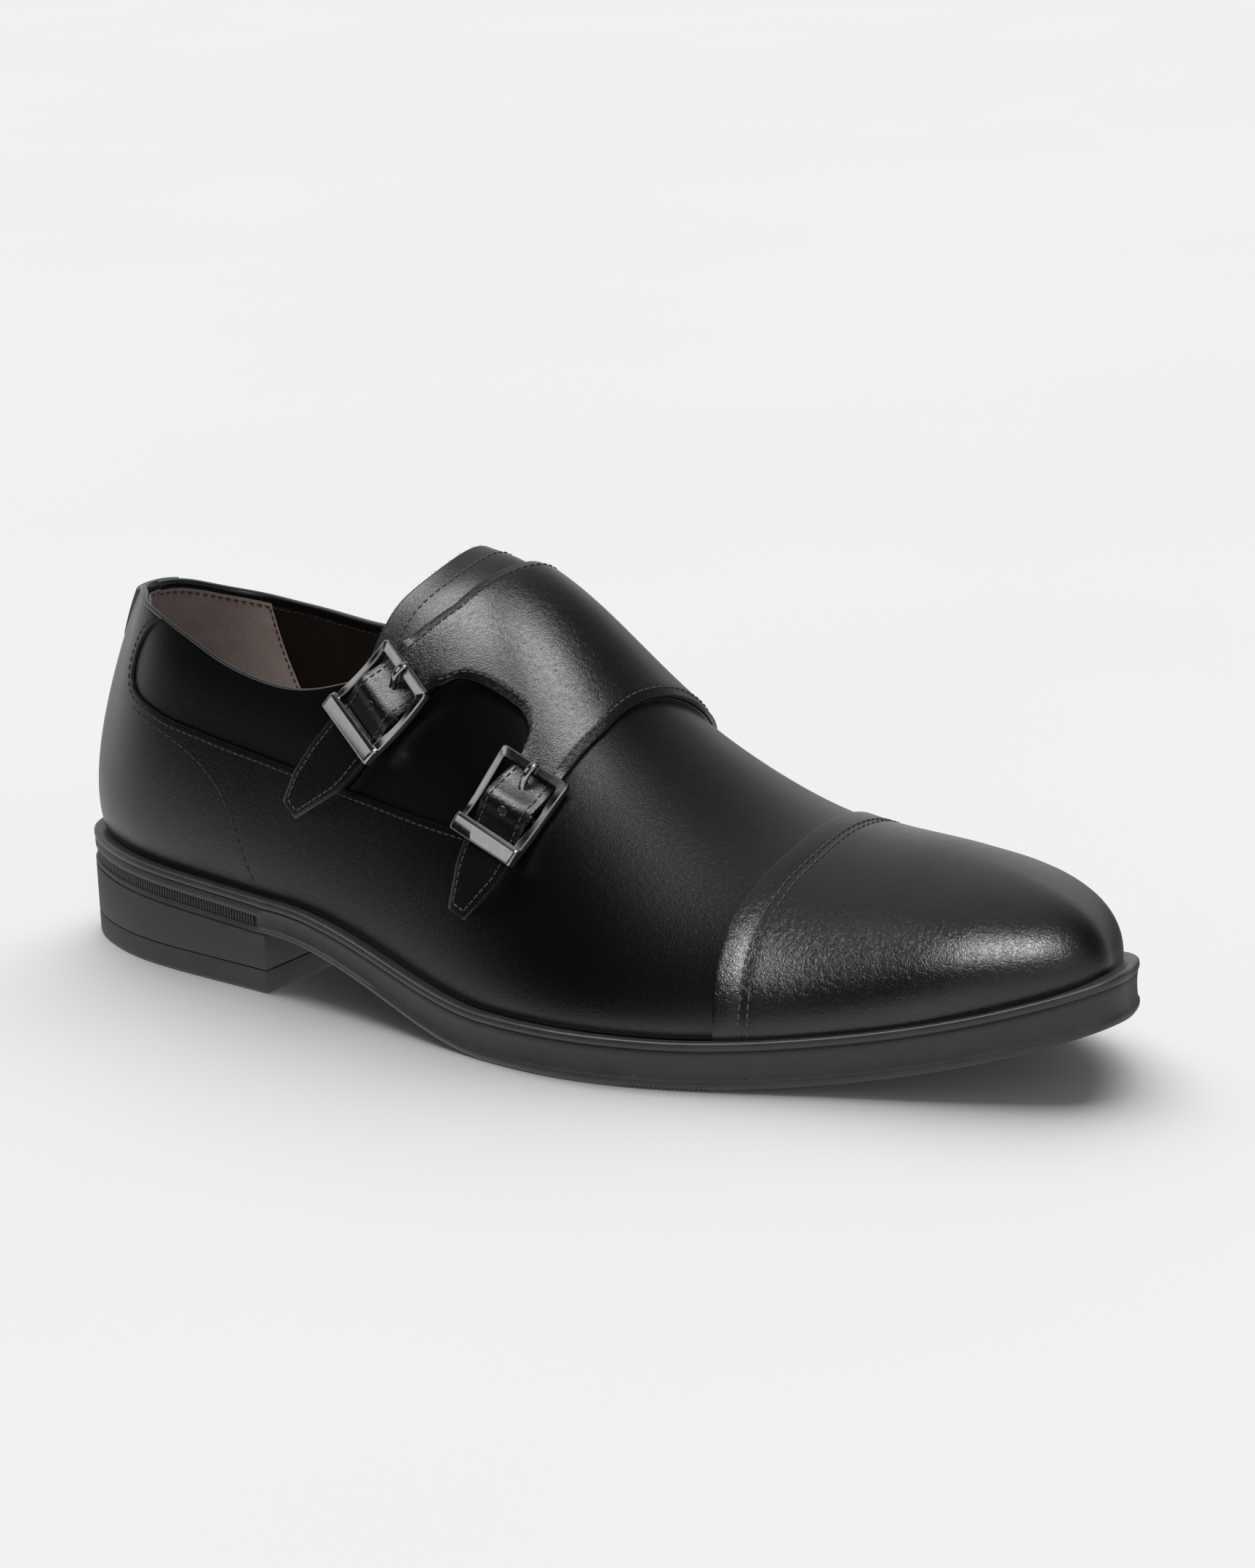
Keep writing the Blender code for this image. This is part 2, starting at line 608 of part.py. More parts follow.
# sections of the prong: place along the strap, underside's level, thickness, half width
PRONG_SECTIONS = (
    (-6.2, STRAP_TOP + 0.9, 1.0, 0.9), (-8.6, FRAME_HIGH + GAP, 1.1, 0.9),
    (-10.4, FRAME_HIGH + GAP, 1.1, 0.9), (-12.3, FRAME_HIGH + GAP, 0.9, 0.7),
)


def across_strap(strap, girth):
    """A point of a strap's middle line on the skin and the way straight across the strap."""
    x, _, turn, _ = strap_frame(strap, girth)
    point, beside = by_girth(
        np.array([x, x + turn[0]]), np.array([girth, girth + turn[1]]), np.zeros(2))
    return point, beside - point


def buckle_points(strap, centre_bar, across, along, level):
    """Points from (across, along, level) in millimetres. Seen from above the frame is straight
    and square; its rows lie on the strap as the skin turns below it."""
    per_girth = strap_frame(strap, centre_bar)[3]
    centre, across_way = across_strap(strap, centre_bar)
    ends = [across_strap(strap, centre_bar + end / per_girth)[0] for end in (HALF, -HALF)]
    along_way = ends[1] - ends[0]
    along_way = unit(along_way - across_way * (along_way @ across_way))
    points = []
    for a, b, height in zip(np.ravel(across), np.ravel(along), np.ravel(level)):
        point, beside = across_strap(strap, centre_bar - b / per_girth)
        point = point - across_way * ((point - centre) @ across_way)
        beside = unit(beside - along_way * (beside @ along_way))
        points.append(point + beside * a + np.cross(along_way, beside) * height)
    return np.array(points).reshape(np.shape(along) + (3,))


def make_buckle(name, strap, centre_bar, material, collection):
    outer = BUCKLE_WIDTH / 2
    inner = outer - SIDE_BAR
    shoulder = inner - BAR_SHOULDER
    lines = np.array([-outer, -inner, -shoulder, 0, shoulder, inner, outer])
    places = np.array([place for place, _ in BUCKLE_ROWS])
    across, along = np.meshgrid(lines, places)
    cells = [[True] + [kind == "bar"] * 4 + [True] for _, kind in BUCKLE_ROWS[:-1]]
    low = SIDE_LOW + (FRAME_LOW - SIDE_LOW) * (along / HALF) ** 2
    high = SIDE_HIGH + (FRAME_HIGH - SIDE_HIGH) * (along / HALF) ** 2
    ends = [j for j, place in enumerate(places) if abs(place) > HALF - NEAR_BAR - MERGE]
    middle = [j for j, place in enumerate(places) if abs(place) < MIDDLE_BAR]
    for j in ends:
        low[j], high[j] = FRAME_LOW, FRAME_HIGH
        low[j, [0, -1]] = FRAME_LOW - SIDE_DROP
    for j in middle:
        low[j, 2:-2], high[j, 2:-2] = BAR_LOW, BAR_HIGH
    faces = [buckle_points(strap, centre_bar, across, along, level) for level in (low, high)]
    return new_object(name, plate(cells, *faces), material, collection)


def make_prong(name, strap, centre_bar, material, collection):
    """The prong's shown length: out of the strap's hole and over the far bar."""
    rings = []
    for along, level, thick, half_width in PRONG_SECTIONS:
        across = np.array([-1, 1, 1, -1]) * half_width
        levels = np.array([level, level, level + thick, level + thick])
        rings.append(buckle_points(strap, centre_bar, across, np.full(4, along), levels))
    form = loft(rings)
    bmesh.ops.recalc_face_normals(form, faces=form.faces)
    return new_object(name, form, material, collection)


# ---- the shoe --------------------------------------------------------------------------------
BLACK, RUBBER_BLACK, NICKEL = (0.018, 0.018, 0.019), (0.03, 0.03, 0.031), (0.5, 0.49, 0.48)
BOARD = (0.12, 0.09, 0.07)


def build():
    clear_scene()
    shoe = new_collection("double_monk_strap_shoe")
    make_outsole(new_material("sole_rubber", RUBBER_BLACK, 0.7), shoe)
    make_welt(new_material("welt_rubber", RUBBER_BLACK, 0.5), shoe)
    make_insole(new_material("insole_board", BOARD, 0.9), shoe)
    make_heel_block(new_material("heel_rubber", RUBBER_BLACK, 0.65), shoe)
    make_top_piece(new_material("top_piece_rubber", RUBBER_BLACK, 0.75), shoe)
    make_upper(new_material("black_leather", BLACK, 0.42), shoe)
    make_toe_cap(new_material("cap_leather", BLACK, 0.35), shoe)
    make_flap(new_material("strap_leather", BLACK, 0.4), shoe)
    for name, strap, bar in (
            ("rear", REAR_STRAP, REAR_CENTRE_BAR), ("front", FRONT_STRAP, FRONT_CENTRE_BAR)):
        frame_metal = new_material(name + "_buckle_nickel", NICKEL, 0.2, 1.0)
        prong_metal = new_material(name + "_prong_nickel", NICKEL, 0.25, 1.0)
        make_buckle(name + "_buckle", strap, bar, frame_metal, shoe)
        make_prong(name + "_prong", strap, bar, prong_metal, shoe)


build()
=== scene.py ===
import bmesh
import bpy
import numpy as np
from mathutils import Matrix, Vector


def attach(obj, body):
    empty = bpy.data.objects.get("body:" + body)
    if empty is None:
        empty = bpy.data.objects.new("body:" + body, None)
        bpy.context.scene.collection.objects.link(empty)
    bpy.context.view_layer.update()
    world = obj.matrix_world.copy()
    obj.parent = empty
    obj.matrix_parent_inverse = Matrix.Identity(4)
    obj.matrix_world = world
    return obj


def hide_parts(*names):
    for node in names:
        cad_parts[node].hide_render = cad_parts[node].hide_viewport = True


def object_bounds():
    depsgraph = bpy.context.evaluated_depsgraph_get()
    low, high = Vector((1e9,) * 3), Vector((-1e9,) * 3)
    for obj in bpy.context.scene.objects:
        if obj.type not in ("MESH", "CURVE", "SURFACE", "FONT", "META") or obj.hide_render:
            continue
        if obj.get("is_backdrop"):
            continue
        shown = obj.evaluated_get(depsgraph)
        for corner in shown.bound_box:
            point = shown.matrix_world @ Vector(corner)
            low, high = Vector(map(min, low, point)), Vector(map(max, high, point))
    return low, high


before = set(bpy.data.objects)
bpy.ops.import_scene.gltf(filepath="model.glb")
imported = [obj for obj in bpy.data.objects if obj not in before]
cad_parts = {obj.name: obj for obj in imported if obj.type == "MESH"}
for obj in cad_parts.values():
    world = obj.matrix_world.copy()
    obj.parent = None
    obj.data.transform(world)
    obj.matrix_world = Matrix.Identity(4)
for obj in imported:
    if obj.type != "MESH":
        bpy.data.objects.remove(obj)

cad_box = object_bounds()

# ---- outsole ---------------------------------------------------------------------------------
# A moulded rubber unit, black and matt. Its side wall is slightly hollow between a bead near
# the ground and a lip at the top, and behind the breast it carries the heel.

# sizes here and below are shoe millimetres: x from the back of the heel, z from the floor
MM = 0.001
LATERAL, MEDIAL = -1, 1
LENGTH, TOE_TIP_Y = 305.0, 0.5
HEEL_END, WAIST_START, TREAD_START, TREAD_END = 79.0, 82.0, 158.0, 205.0
HEEL_SEAT_BACK, HEEL_SEAT_FRONT, TOE_SPRING = 19.4, 15.5, 18.4
WALL_AT_HEEL, WALL_AT_TREAD = 6.7, 9.5
TURN_STATIONS = 720      # round the whole outline
# x, half width on the lateral side, half width on the medial side
OUTLINE = (
    (2, 12.0, 10.0), (10, 20.8, 20.8), (30, 30.3, 31.3), (60, 35.2, 32.8), (90, 39.0, 31.5),
    (120, 44.3, 32.5), (150, 50.8, 38.5), (180, 53.6, 45.5), (210, 47.5, 49.0), (240, 35.5, 47.0),
    (265, 26.2, 40.5), (285, 18.2, 31.5), (298, 11.5, 18.5), (303.5, 5.5, 7.0),
)


def natural_spline(table, x):
    """Each column of a table as a natural cubic spline of its first column, read at x."""
    rows = np.array(table, float)
    knots, values = rows[:, 0], rows[:, 1:]
    gaps = np.diff(knots)
    slopes = np.diff(values, axis=0) / gaps[:, None]
    system = np.eye(len(knots))
    right = np.zeros_like(values)
    for i in range(1, len(knots) - 1):
        system[i, i - 1:i + 2] = gaps[i - 1], 2 * (gaps[i - 1] + gaps[i]), gaps[i]
        right[i] = 6 * (slopes[i] - slopes[i - 1])
    bends = np.linalg.solve(system, right)
    x = np.atleast_1d(np.asarray(x, float))
    i = np.clip(np.searchsorted(knots, x, side="right") - 1, 0, len(knots) - 2)
    t, gap = (x - knots[i])[:, None], gaps[i][:, None]
    first = slopes[i] - gap * (2 * bends[i] + bends[i + 1]) / 6
    return values[i] + t * (first + t * (bends[i] / 2 + t * (bends[i + 1] - bends[i]) / (6 * gap)))


def run_length(points):
    """Distance along a path at each of its points."""
    return np.concatenate([[0], np.cumsum(np.linalg.norm(np.diff(points, axis=0), axis=1))])


def smooth_curve(points, count):
    """A spline through points by their distances, read at evenly spread places."""
    points = np.array(points, float)
    along = run_length(points)
    return natural_spline(np.column_stack([along, points]), np.linspace(0, along[-1], count))


def ease(x, start, end):
    """0 before start, 1 after end, smooth between."""
    t = np.clip((np.asarray(x, float) - start) / (end - start), 0, 1)
    return t * t * (3 - 2 * t)


def unit(vectors):
    return vectors / np.maximum(np.linalg.norm(vectors, axis=-1, keepdims=True), 1e-12)


def heel_seat(x):
    return HEEL_SEAT_FRONT + (HEEL_SEAT_BACK - HEEL_SEAT_FRONT) * (1 - np.asarray(x) / HEEL_END)


def sole_bottom(x):
    x = np.asarray(x, float)
    waist = HEEL_SEAT_FRONT * (1 - ease(x, WAIST_START, TREAD_START))
    toe = TOE_SPRING * (np.clip(x - TREAD_END, 0, None) / (LENGTH - TREAD_END)) ** 2
    return np.where(x < HEEL_END, heel_seat(x), waist + toe)


def wall_top(x):
    growth = (WALL_AT_TREAD - WALL_AT_HEEL) * ease(x, WAIST_START, TREAD_START)
    return sole_bottom(x) + WALL_AT_HEEL + growth


def closed_outline(count):
    """The outsole's outline, counter-clockwise from the back of the heel by the lateral side."""
    lateral = [(x, -wide) for x, wide, _ in OUTLINE]
    medial = [(x, wide) for x, _, wide in reversed(OUTLINE)]
    loop = np.array([(0, 0)] + lateral + [(LENGTH, TOE_TIP_Y)] + medial + [(0, 0)], float)
    # two turns of the loop, read in their middle, make the spline close smoothly
    steps = np.sqrt(np.linalg.norm(np.diff(loop, axis=0), axis=1))
    twice = np.vstack([loop, loop[1:]])
    along = np.concatenate([[0], np.cumsum(np.tile(steps, 2))])
    turn = along[-1] / 2
    places = turn / 2 + turn * np.arange(count) / count
    points = natural_spline(np.column_stack([along, twice]), places)
    return np.roll(points, -int(np.argmin(points[:, 0])), axis=0)


PLAN = closed_outline(TURN_STATIONS)
ORIGIN = (LENGTH / 2, (PLAN[:, 1].max() + PLAN[:, 1].min()) / 2, 0)
PLAN_ALONG = unit(np.roll(PLAN, -1, 0) - np.roll(PLAN, 1, 0))
PLAN_INWARD = np.column_stack([-PLAN_ALONG[:, 1], PLAN_ALONG[:, 0]])


def outline_ring(inset, height):
    """A ring inside the outline: its inset and its height may differ from place to place."""
    flat = PLAN + PLAN_INWARD * np.reshape(inset, (-1, 1))
    return np.column_stack([flat, np.broadcast_to(height, len(flat))])


def grid_faces(rows, columns, round_rows=False, round_columns=False):
    """Corners of the quads of a grid of points that are numbered row by row."""
    i, j = np.meshgrid(
        np.arange(rows if round_rows else rows - 1),
        np.arange(columns if round_columns else columns - 1), indexing="ij")
    next_i, next_j = (i + 1) % rows, (j + 1) % columns
    return np.stack([
        i * columns + j, next_i * columns + j, next_i * columns + next_j, i * columns + next_j,
    ], axis=-1).reshape(-1, 4)


MERGE_WITHIN = 0.004     # corners closer than this become one


def set_down(name, points, faces, material, slot, nodes=(), sharp=35):
    """A piece from shoe millimetres: in its place, shaded smooth, riding with the shoe."""
    form = bmesh.new()
    corners = [form.verts.new(p) for p in (np.asarray(points) - ORIGIN) * MM]
    for face in faces:
        form.faces.new([corners[k] for k in face])
    bmesh.ops.remove_doubles(form, verts=form.verts, dist=MERGE_WITHIN * MM)
    bmesh.ops.recalc_face_normals(form, faces=form.faces)
    mesh = bpy.data.meshes.new(name)
    form.to_mesh(mesh)
    form.free()
    for polygon in mesh.polygons:
        polygon.use_smooth = True
    mesh.set_sharp_from_angle(angle=np.radians(sharp))
    mesh.materials.append(material)
    piece = bpy.data.objects.new(name, mesh)
    bpy.context.scene.collection.objects.link(piece)
    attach(piece, "root")
    if nodes:
        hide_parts(*nodes)
    return piece


def round_body(rings):
    """Points and faces of a closed body through rings, each end closed by strips across it."""
    size, count = len(rings[0]), len(rings)
    faces = grid_faces(count, size, round_columns=True).tolist()
    for first, turned in ((0, True), ((count - 1) * size, False)):
        for k in range(size // 2):
            strip = [first + n for n in (k, k + 1, size - k - 1, (size - k) % size)]
            strip = list(dict.fromkeys(strip))
            faces.append(strip[::-1] if turned else strip)
    return np.vstack(rings), faces


def fill(tree, node, **values):
    """Gives a node its settings and inputs by name; a socket as a value is linked."""
    for key, value in values.items():
        socket = node.inputs.get(key.replace("_", " "))
        if isinstance(value, bpy.types.NodeSocket):
            tree.links.new(value, socket)
        elif socket is not None:
            socket.default_value = value
        else:
            setattr(node, key, value)
    return node


def add_node(tree, kind, **values):
    return fill(tree, tree.nodes.new("ShaderNode" + kind), **values)


def add_noise(tree, where, scale, detail, **values):
    """Cloudy noise, from 0 to 1."""
    noise = add_node(tree, "TexNoise", Vector=where, Scale=scale, Detail=detail, **values)
    return noise.outputs["Fac"]


def add_ramp(tree, value, low, high, dark, light):
    """A grey or coloured ramp between two values of another node's output."""
    ramp = tree.nodes.new("ShaderNodeValToRGB")
    ramp.color_ramp.elements[0].position = low
    ramp.color_ramp.elements[1].position = high
    ramp.color_ramp.elements[0].color = (*dark, 1)
    ramp.color_ramp.elements[1].color = (*light, 1)
    tree.links.new(value, ramp.inputs["Fac"])
    return ramp.outputs["Color"]


def add_bump(tree, height, strength, distance, **values):
    """Relief of a given depth in metres; returns the normal that the shader takes."""
    bump = add_node(tree, "Bump", Height=height, Strength=strength, Distance=distance, **values)
    return bump.outputs["Normal"]


def new_finish(name):
    """A new material: its node tree, its shader and the places on the piece."""
    material = bpy.data.materials.new(name)
    material.use_nodes = True
    tree = material.node_tree
    where = add_node(tree, "TexCoord").outputs["Object"]
    return material, tree, tree.nodes["Principled BSDF"], where


def make_rubber(name, dark, light, roughness):
    """Moulded rubber: cloudy black with a fine pitted skin and a few specks of dust."""
    material, tree, shader, where = new_finish(name)
    clouds = add_noise(tree, where, 160.0, 5.0, Roughness=0.65)
    pits = add_noise(tree, where, 2600.0, 3.0, Roughness=0.6)
    dust = add_node(tree, "TexVoronoi", Vector=where, Scale=420.0, Randomness=1.0)
    colour = add_ramp(tree, clouds, 0.3, 0.75, dark, light)
    speck = add_ramp(tree, dust.outputs["Distance"], 0.035, 0.06, (1, 1, 1), (0, 0, 0))
    dusty = add_node(tree, "MixRGB", Fac=speck, Color1=colour, Color2=(0.13, 0.13, 0.13, 1))
    wear = add_node(tree, "MapRange", Value=clouds, To_Min=roughness - 0.06,
                    To_Max=roughness + 0.08)
    fill(tree, shader, Base_Color=dusty.outputs["Color"], Roughness=wear.outputs["Result"],
         Normal=add_bump(tree, pits, 0.5, 0.00006))
    return material


sole_rubber = make_rubber("sole_rubber", (0.017, 0.017, 0.018), (0.028, 0.028, 0.029), 0.48)

# side wall from the ground up: inset from the outline and share of the wall's height, first
# behind the breast, where the wall holds a recessed band, then along the tread
HEEL_WALL = (
    (0.60, 0.00), (0.20, 0.015), (0.00, 0.05), (0.00, 0.15), (0.12, 0.185), (0.95, 0.21),
    (0.95, 0.40), (0.95, 0.60), (0.40, 0.63), (0.15, 0.68), (0.10, 0.85), (0.40, 1.00),
)
TREAD_WALL = (
    (1.00, 0.00), (0.45, 0.02), (0.12, 0.08), (0.00, 0.15), (0.05, 0.21), (0.32, 0.25),
    (0.46, 0.30), (0.58, 0.45), (0.60, 0.66), (0.52, 0.82), (0.38, 0.93), (0.60, 1.00),
)
BAND_END = (75.5, 77.5)      # the heel's wall turns into the waist's between these
TREAD_DEPTH = 0.8            # of the recess that the bars stand in
RECESS_GROWS = (90, 104)     # and where it comes in
TREAD_SHOWS, TREAD_HIDES = (196, 200), (216, 221)    # fine teeth show at the edge between these
EDGE_LIFT = 0.45             # and there the side wall's lower edge is lifted to show them
UNDERSIDE_INSET, UPPER_FACE_INSET = 2.6, 2.5
plan_x = PLAN[:, 0]
forward = ease(plan_x, *BAND_END)
wall_rings = []
for (heel_inset, heel_share), (inset, share) in zip(HEEL_WALL, TREAD_WALL):
    here = heel_share + (share - heel_share) * forward
    height = sole_bottom(plan_x) * (1 - here) + wall_top(plan_x) * here
    wall_rings.append(outline_ring(heel_inset + (inset - heel_inset) * forward, height))
lifted_edge = EDGE_LIFT * ease(plan_x, *TREAD_SHOWS) * (1 - ease(plan_x, *TREAD_HIDES))
for number, ring in enumerate(wall_rings[:2]):
    ring[:, 2] += lifted_edge * (1 - 0.3 * number)
recess = TREAD_DEPTH * ease(plan_x, *RECESS_GROWS)
under = outline_ring(UNDERSIDE_INSET, sole_bottom(plan_x) + recess)
upper_face = outline_ring(UPPER_FACE_INSET, wall_top(plan_x))
set_down("outsole", *round_body([under] + wall_rings + [upper_face]), sole_rubber, "outsole",
         ["outsole"])

# ---- tread -----------------------------------------------------------------------------------
# Bars moulded across the forefoot under the outsole, in the same rubber, and a row of fine
# teeth at each edge, which show where the toe starts to rise from the ground.
BAR_PITCH, BAR_WIDTH, BAR_EDGE = 2.6, 1.5, 4.0
BAR_START, BAR_STOP = 106.0, 297.0
TOOTH_PITCH, TOOTH_WIDTH, TOOTH_EDGE = 1.05, 0.6, 0.5
BAR_ROOT = 0.3           # the bars run this far into the sole


def outline_y(x, side, inset):
    """Where one side of the outline, moved in, lies at x."""
    loop = outline_ring(inset, 0.0)
    tip = int(np.argmax(loop[:, 0]))
    half = loop[:tip + 1] if side == LATERAL else loop[tip:][::-1]
    return np.interp(x, half[:, 0], half[:, 1])


CUBE_FACES = np.array([
    (0, 3, 2, 1), (4, 5, 6, 7), (0, 1, 5, 4), (1, 2, 6, 5), (2, 3, 7, 6), (3, 0, 4, 7)])

bars = [(x, BAR_WIDTH, LATERAL, BAR_EDGE, MEDIAL, BAR_EDGE)
        for x in np.arange(BAR_START, BAR_STOP, BAR_PITCH)]
for x in np.arange(TREAD_SHOWS[0] + 1, TREAD_HIDES[1] - 2, TOOTH_PITCH):
    bars += [(x, TOOTH_WIDTH, LATERAL, TOOTH_EDGE, LATERAL, BAR_EDGE),
             (x, TOOTH_WIDTH, MEDIAL, BAR_EDGE, MEDIAL, TOOTH_EDGE)]
bar_points, bar_faces = [], []
for x, width, first_side, first_edge, last_side, last_edge in bars:
    ends = np.array([x, x + width, x + width, x])
    y = np.concatenate([outline_y(ends[:2], first_side, first_edge),
                        outline_y(ends[2:], last_side, last_edge)])
    low = sole_bottom(ends)
    bar_faces.append(CUBE_FACES + len(bar_points) * 4)
    bar_points += [np.column_stack([ends, y, low + rise]) for rise in (0, TREAD_DEPTH + BAR_ROOT)]
set_down("tread", np.vstack(bar_points), np.vstack(bar_faces), sole_rubber, "outsole")

# ---- heel ------------------------------------------------------------------------------------
# A flat rubber block and the top piece that takes the wear, glued under the sole. A fine ribbed
# strip runs round the recess above the block.
HEEL_TURN = 90           # stations on each side of the heel
# inset and height of the top piece's side, of the block's foot and of the block's head, whose
# heights are told from the sole
TOP_PIECE_SIDE = (
    (0.9, 0.0), (0.35, 0.12), (0.06, 0.5), (0.0, 1.0), (0.0, 5.5), (0.12, 5.8), (0.4, 5.9))
BLOCK_FOOT = ((0.4, 6.1), (0.12, 6.2), (0.0, 6.5))
BLOCK_HEAD = ((0.0, -0.75), (0.08, -0.5), (0.45, -0.42), (0.45, 0.02))
RIB_PITCH, RIB_WIDTH, RIB_LOW, RIB_HIGH, RIB_DEPTH = 1.0, 0.56, 1.55, 4.1, 0.5
RIB_ROOT = 1.1           # inset of a rib's back, inside the sole
RIBS_END = 75.2


def heel_ring(inset, height):
    """The heel's outline, cut straight across at the breast, with the breast moved in too."""
    end = HEEL_END - inset * 0.5
    turn = np.pi / 2 * np.arange(HEEL_TURN + 1) / HEEL_TURN
    start = outline_ring(inset, 0.0)[:, 0].min()
    x = start + (end - start) * (1 - np.cos(turn))
    forth = np.column_stack([x, outline_y(x, LATERAL, inset)])
    back = np.column_stack([x, outline_y(x, MEDIAL, inset)])[:0:-1]
    loop = np.vstack([forth, back])
    return np.column_stack([loop, height(loop[:, 0])])


def level(height):
    return lambda x: np.full_like(x, height)


def below_seat(drop):
    return lambda x: heel_seat(x) + drop


heel_rubber = make_rubber("heel_rubber", (0.021, 0.021, 0.022), (0.032, 0.032, 0.033), 0.62)
top_rings = [heel_ring(inset, level(height)) for inset, height in TOP_PIECE_SIDE]
set_down("heel_top_piece", *round_body(top_rings), heel_rubber, "heel_top_piece",
         ["heel_top_piece"], sharp=30)
block_rings = [heel_ring(inset, level(height)) for inset, height in BLOCK_FOOT]
block_rings += [heel_ring(inset, below_seat(drop)) for inset, drop in BLOCK_HEAD]
set_down("heel_block", *round_body(block_rings), heel_rubber, "heel_block", ["heel_block"],
         sharp=30)

turn_steps = np.linalg.norm(np.diff(np.vstack([PLAN, PLAN[:1]]), axis=0), axis=1)
turn_length = np.concatenate([[0], np.cumsum(turn_steps)])
rib_points, rib_faces = [], []
for place in np.arange(-110, 110) * RIB_PITCH:
    ends = []
    for shift in (-RIB_WIDTH / 2, RIB_WIDTH / 2):
        s = (place + shift) % turn_length[-1]
        at = np.searchsorted(turn_length, s) - 1
        share = (s - turn_length[at]) / turn_steps[at]
        after = (at + 1) % TURN_STATIONS
        base = PLAN[at] * (1 - share) + PLAN[after] * share
        inward = unit(PLAN_INWARD[at] * (1 - share) + PLAN_INWARD[after] * share)
        ends.append((base, inward))
    if ends[0][0][0] > RIBS_END or ends[1][0][0] > RIBS_END:
        continue
    quad = np.array([
        ends[0][0] + ends[0][1] * RIB_DEPTH, ends[1][0] + ends[1][1] * RIB_DEPTH,
        ends[1][0] + ends[1][1] * RIB_ROOT, ends[0][0] + ends[0][1] * RIB_ROOT])
    seat = heel_seat(quad[:, 0])
    rib_faces.append(CUBE_FACES + len(rib_points) * 4)
    rib_points += [np.column_stack([quad, seat + rise]) for rise in (RIB_LOW, RIB_HIGH)]
set_down("heel_ribs", np.vstack(rib_points), np.vstack(rib_faces), sole_rubber, "outsole")

# ---- welt ------------------------------------------------------------------------------------
# The rubber rim that the upper stands on: a flat ledge with a rounded lip outside it and a
# narrow channel where it meets the leather.
WELT = 2.3
WELT_SIDE = (     # inset from the outline, height above the side wall
    (6.5, -0.2), (0.9, -0.2), (0.55, 0.0), (0.45, 0.15), (0.12, 0.32), (0.0, 0.7), (0.0, 1.45),
    (0.12, 1.95), (0.45, 2.25), (0.9, 2.3), (1.9, 2.22), (2.5, 2.02), (3.3, 1.85), (6.5, 1.85),
)


def feather(x):
    """Height of the line where the upper meets the welt."""
    return wall_top(x) + WELT


welt_rubber = make_rubber("welt_rubber", (0.017, 0.017, 0.018), (0.027, 0.027, 0.028), 0.36)
welt_rings = np.array([outline_ring(inset, wall_top(plan_x) + rise) for inset, rise in WELT_SIDE])
set_down("welt", welt_rings.reshape(-1, 3),
         grid_faces(len(WELT_SIDE), TURN_STATIONS, round_rows=True, round_columns=True),
         welt_rubber, "welt", ["welt"], sharp=50)

# ---- vamp and outer quarter ------------------------------------------------------------------
# One piece of black calf, lasted: it covers the toes under the cap, the instep under the flap
# and the whole of the outer side to the seam at the back of the heel. It is pulled over the
# last, whose skin is told here by profiles from the welt (v = 0) up to the ridge (v = 1).
WELT_MARGIN, TOE_MARGIN, TOE_MARGIN_START = 3.3, 2.2, 255.0
HEEL_AXIS, TOE_AXIS, AXIS_BLEND = 38.0, 262.0, 4.0
# top line of the last: x, y, z. Over the opening it only guides the side walls
RIDGE = (
    (38, 0.0, 132.0), (70, 0.5, 125.0), (100, 1.5, 117.0), (125, 2.5, 111.0), (139, 3.0, 106.0),
    (150, 3.5, 99.0), (163, 4.0, 87.5), (176, 5.0, 75.5), (190, 6.0, 65.5), (207, 7.5, 56.5),
    (228, 9.0, 51.0), (248, 9.5, 49.5), (262, 9.5, 48.0),
)
# how a profile leaves the welt and reaches the ridge, on the lateral and then the medial side:
# x, outward lean in degrees, length of the side's pull, of the crown's pull
SECTIONS = (
    (0, 17, 29, 3, 17, 29, 3), (15, 19, 29, 3, 18, 29, 3), (35, 14, 33, 17, 11, 33, 17),
    (60, 9, 36, 20, 9, 36, 20), (90, 4, 36, 20, 4, 38, 18), (120, 3, 32, 22, 0, 36, 18),
    (150, 6, 24, 26, 2, 34, 18), (180, 10, 18, 30, 6, 24, 24), (210, 12, 16, 28, 8, 18, 28),
    (240, 14, 16, 22, 12, 17, 24), (265, 16, 16, 20, 15, 16, 21), (285, 12, 16, 18, 12, 16, 18),
    (302, 4, 14.5, 19, 4, 14.5, 19),
)
VAMP_LEATHER = 0.85
CAP_REAR = 218.0
LAP = 8.0                # the vamp runs this far under the cap
VAMP_REAR = 155.0        # its rear edge, hidden under the front strap and the flap
VAMP_SLANT = 12.0        # that edge lies further forward at the ridge
SLANT_TOP, SLANT_END = 0.66, 200.0       # share of the profile, and x, where the slant ends
BACK_DIP = 0.5           # the topline is this much lower right at the back
# upper edge of the outer side behind the strap, as x, z: its part on the topline, the curl
# where it drops behind the collar piece, and the seam forward of that
HEEL_TOP = ((10, 93.0), (22, 93.0), (31, 92.4), (36, 91.6), (40.5, 90.3))
SEAM_CURL = (
    (40.5, 90.3), (36.8, 88.4), (32.2, 84.2), (29.2, 79.6), (28.2, 75.2), (29.6, 71.8),
    (34, 69.2), (43, 66.3),
)
SIDE_SEAM = (
    (34, 69.2), (43, 66.3), (53, 64.4), (64, 62.4), (75, 60.7), (88, 58.8), (106, 56.2),
    (117, 54.8), (130, 53.2), (143, 52.0), (160, 50.5),
)

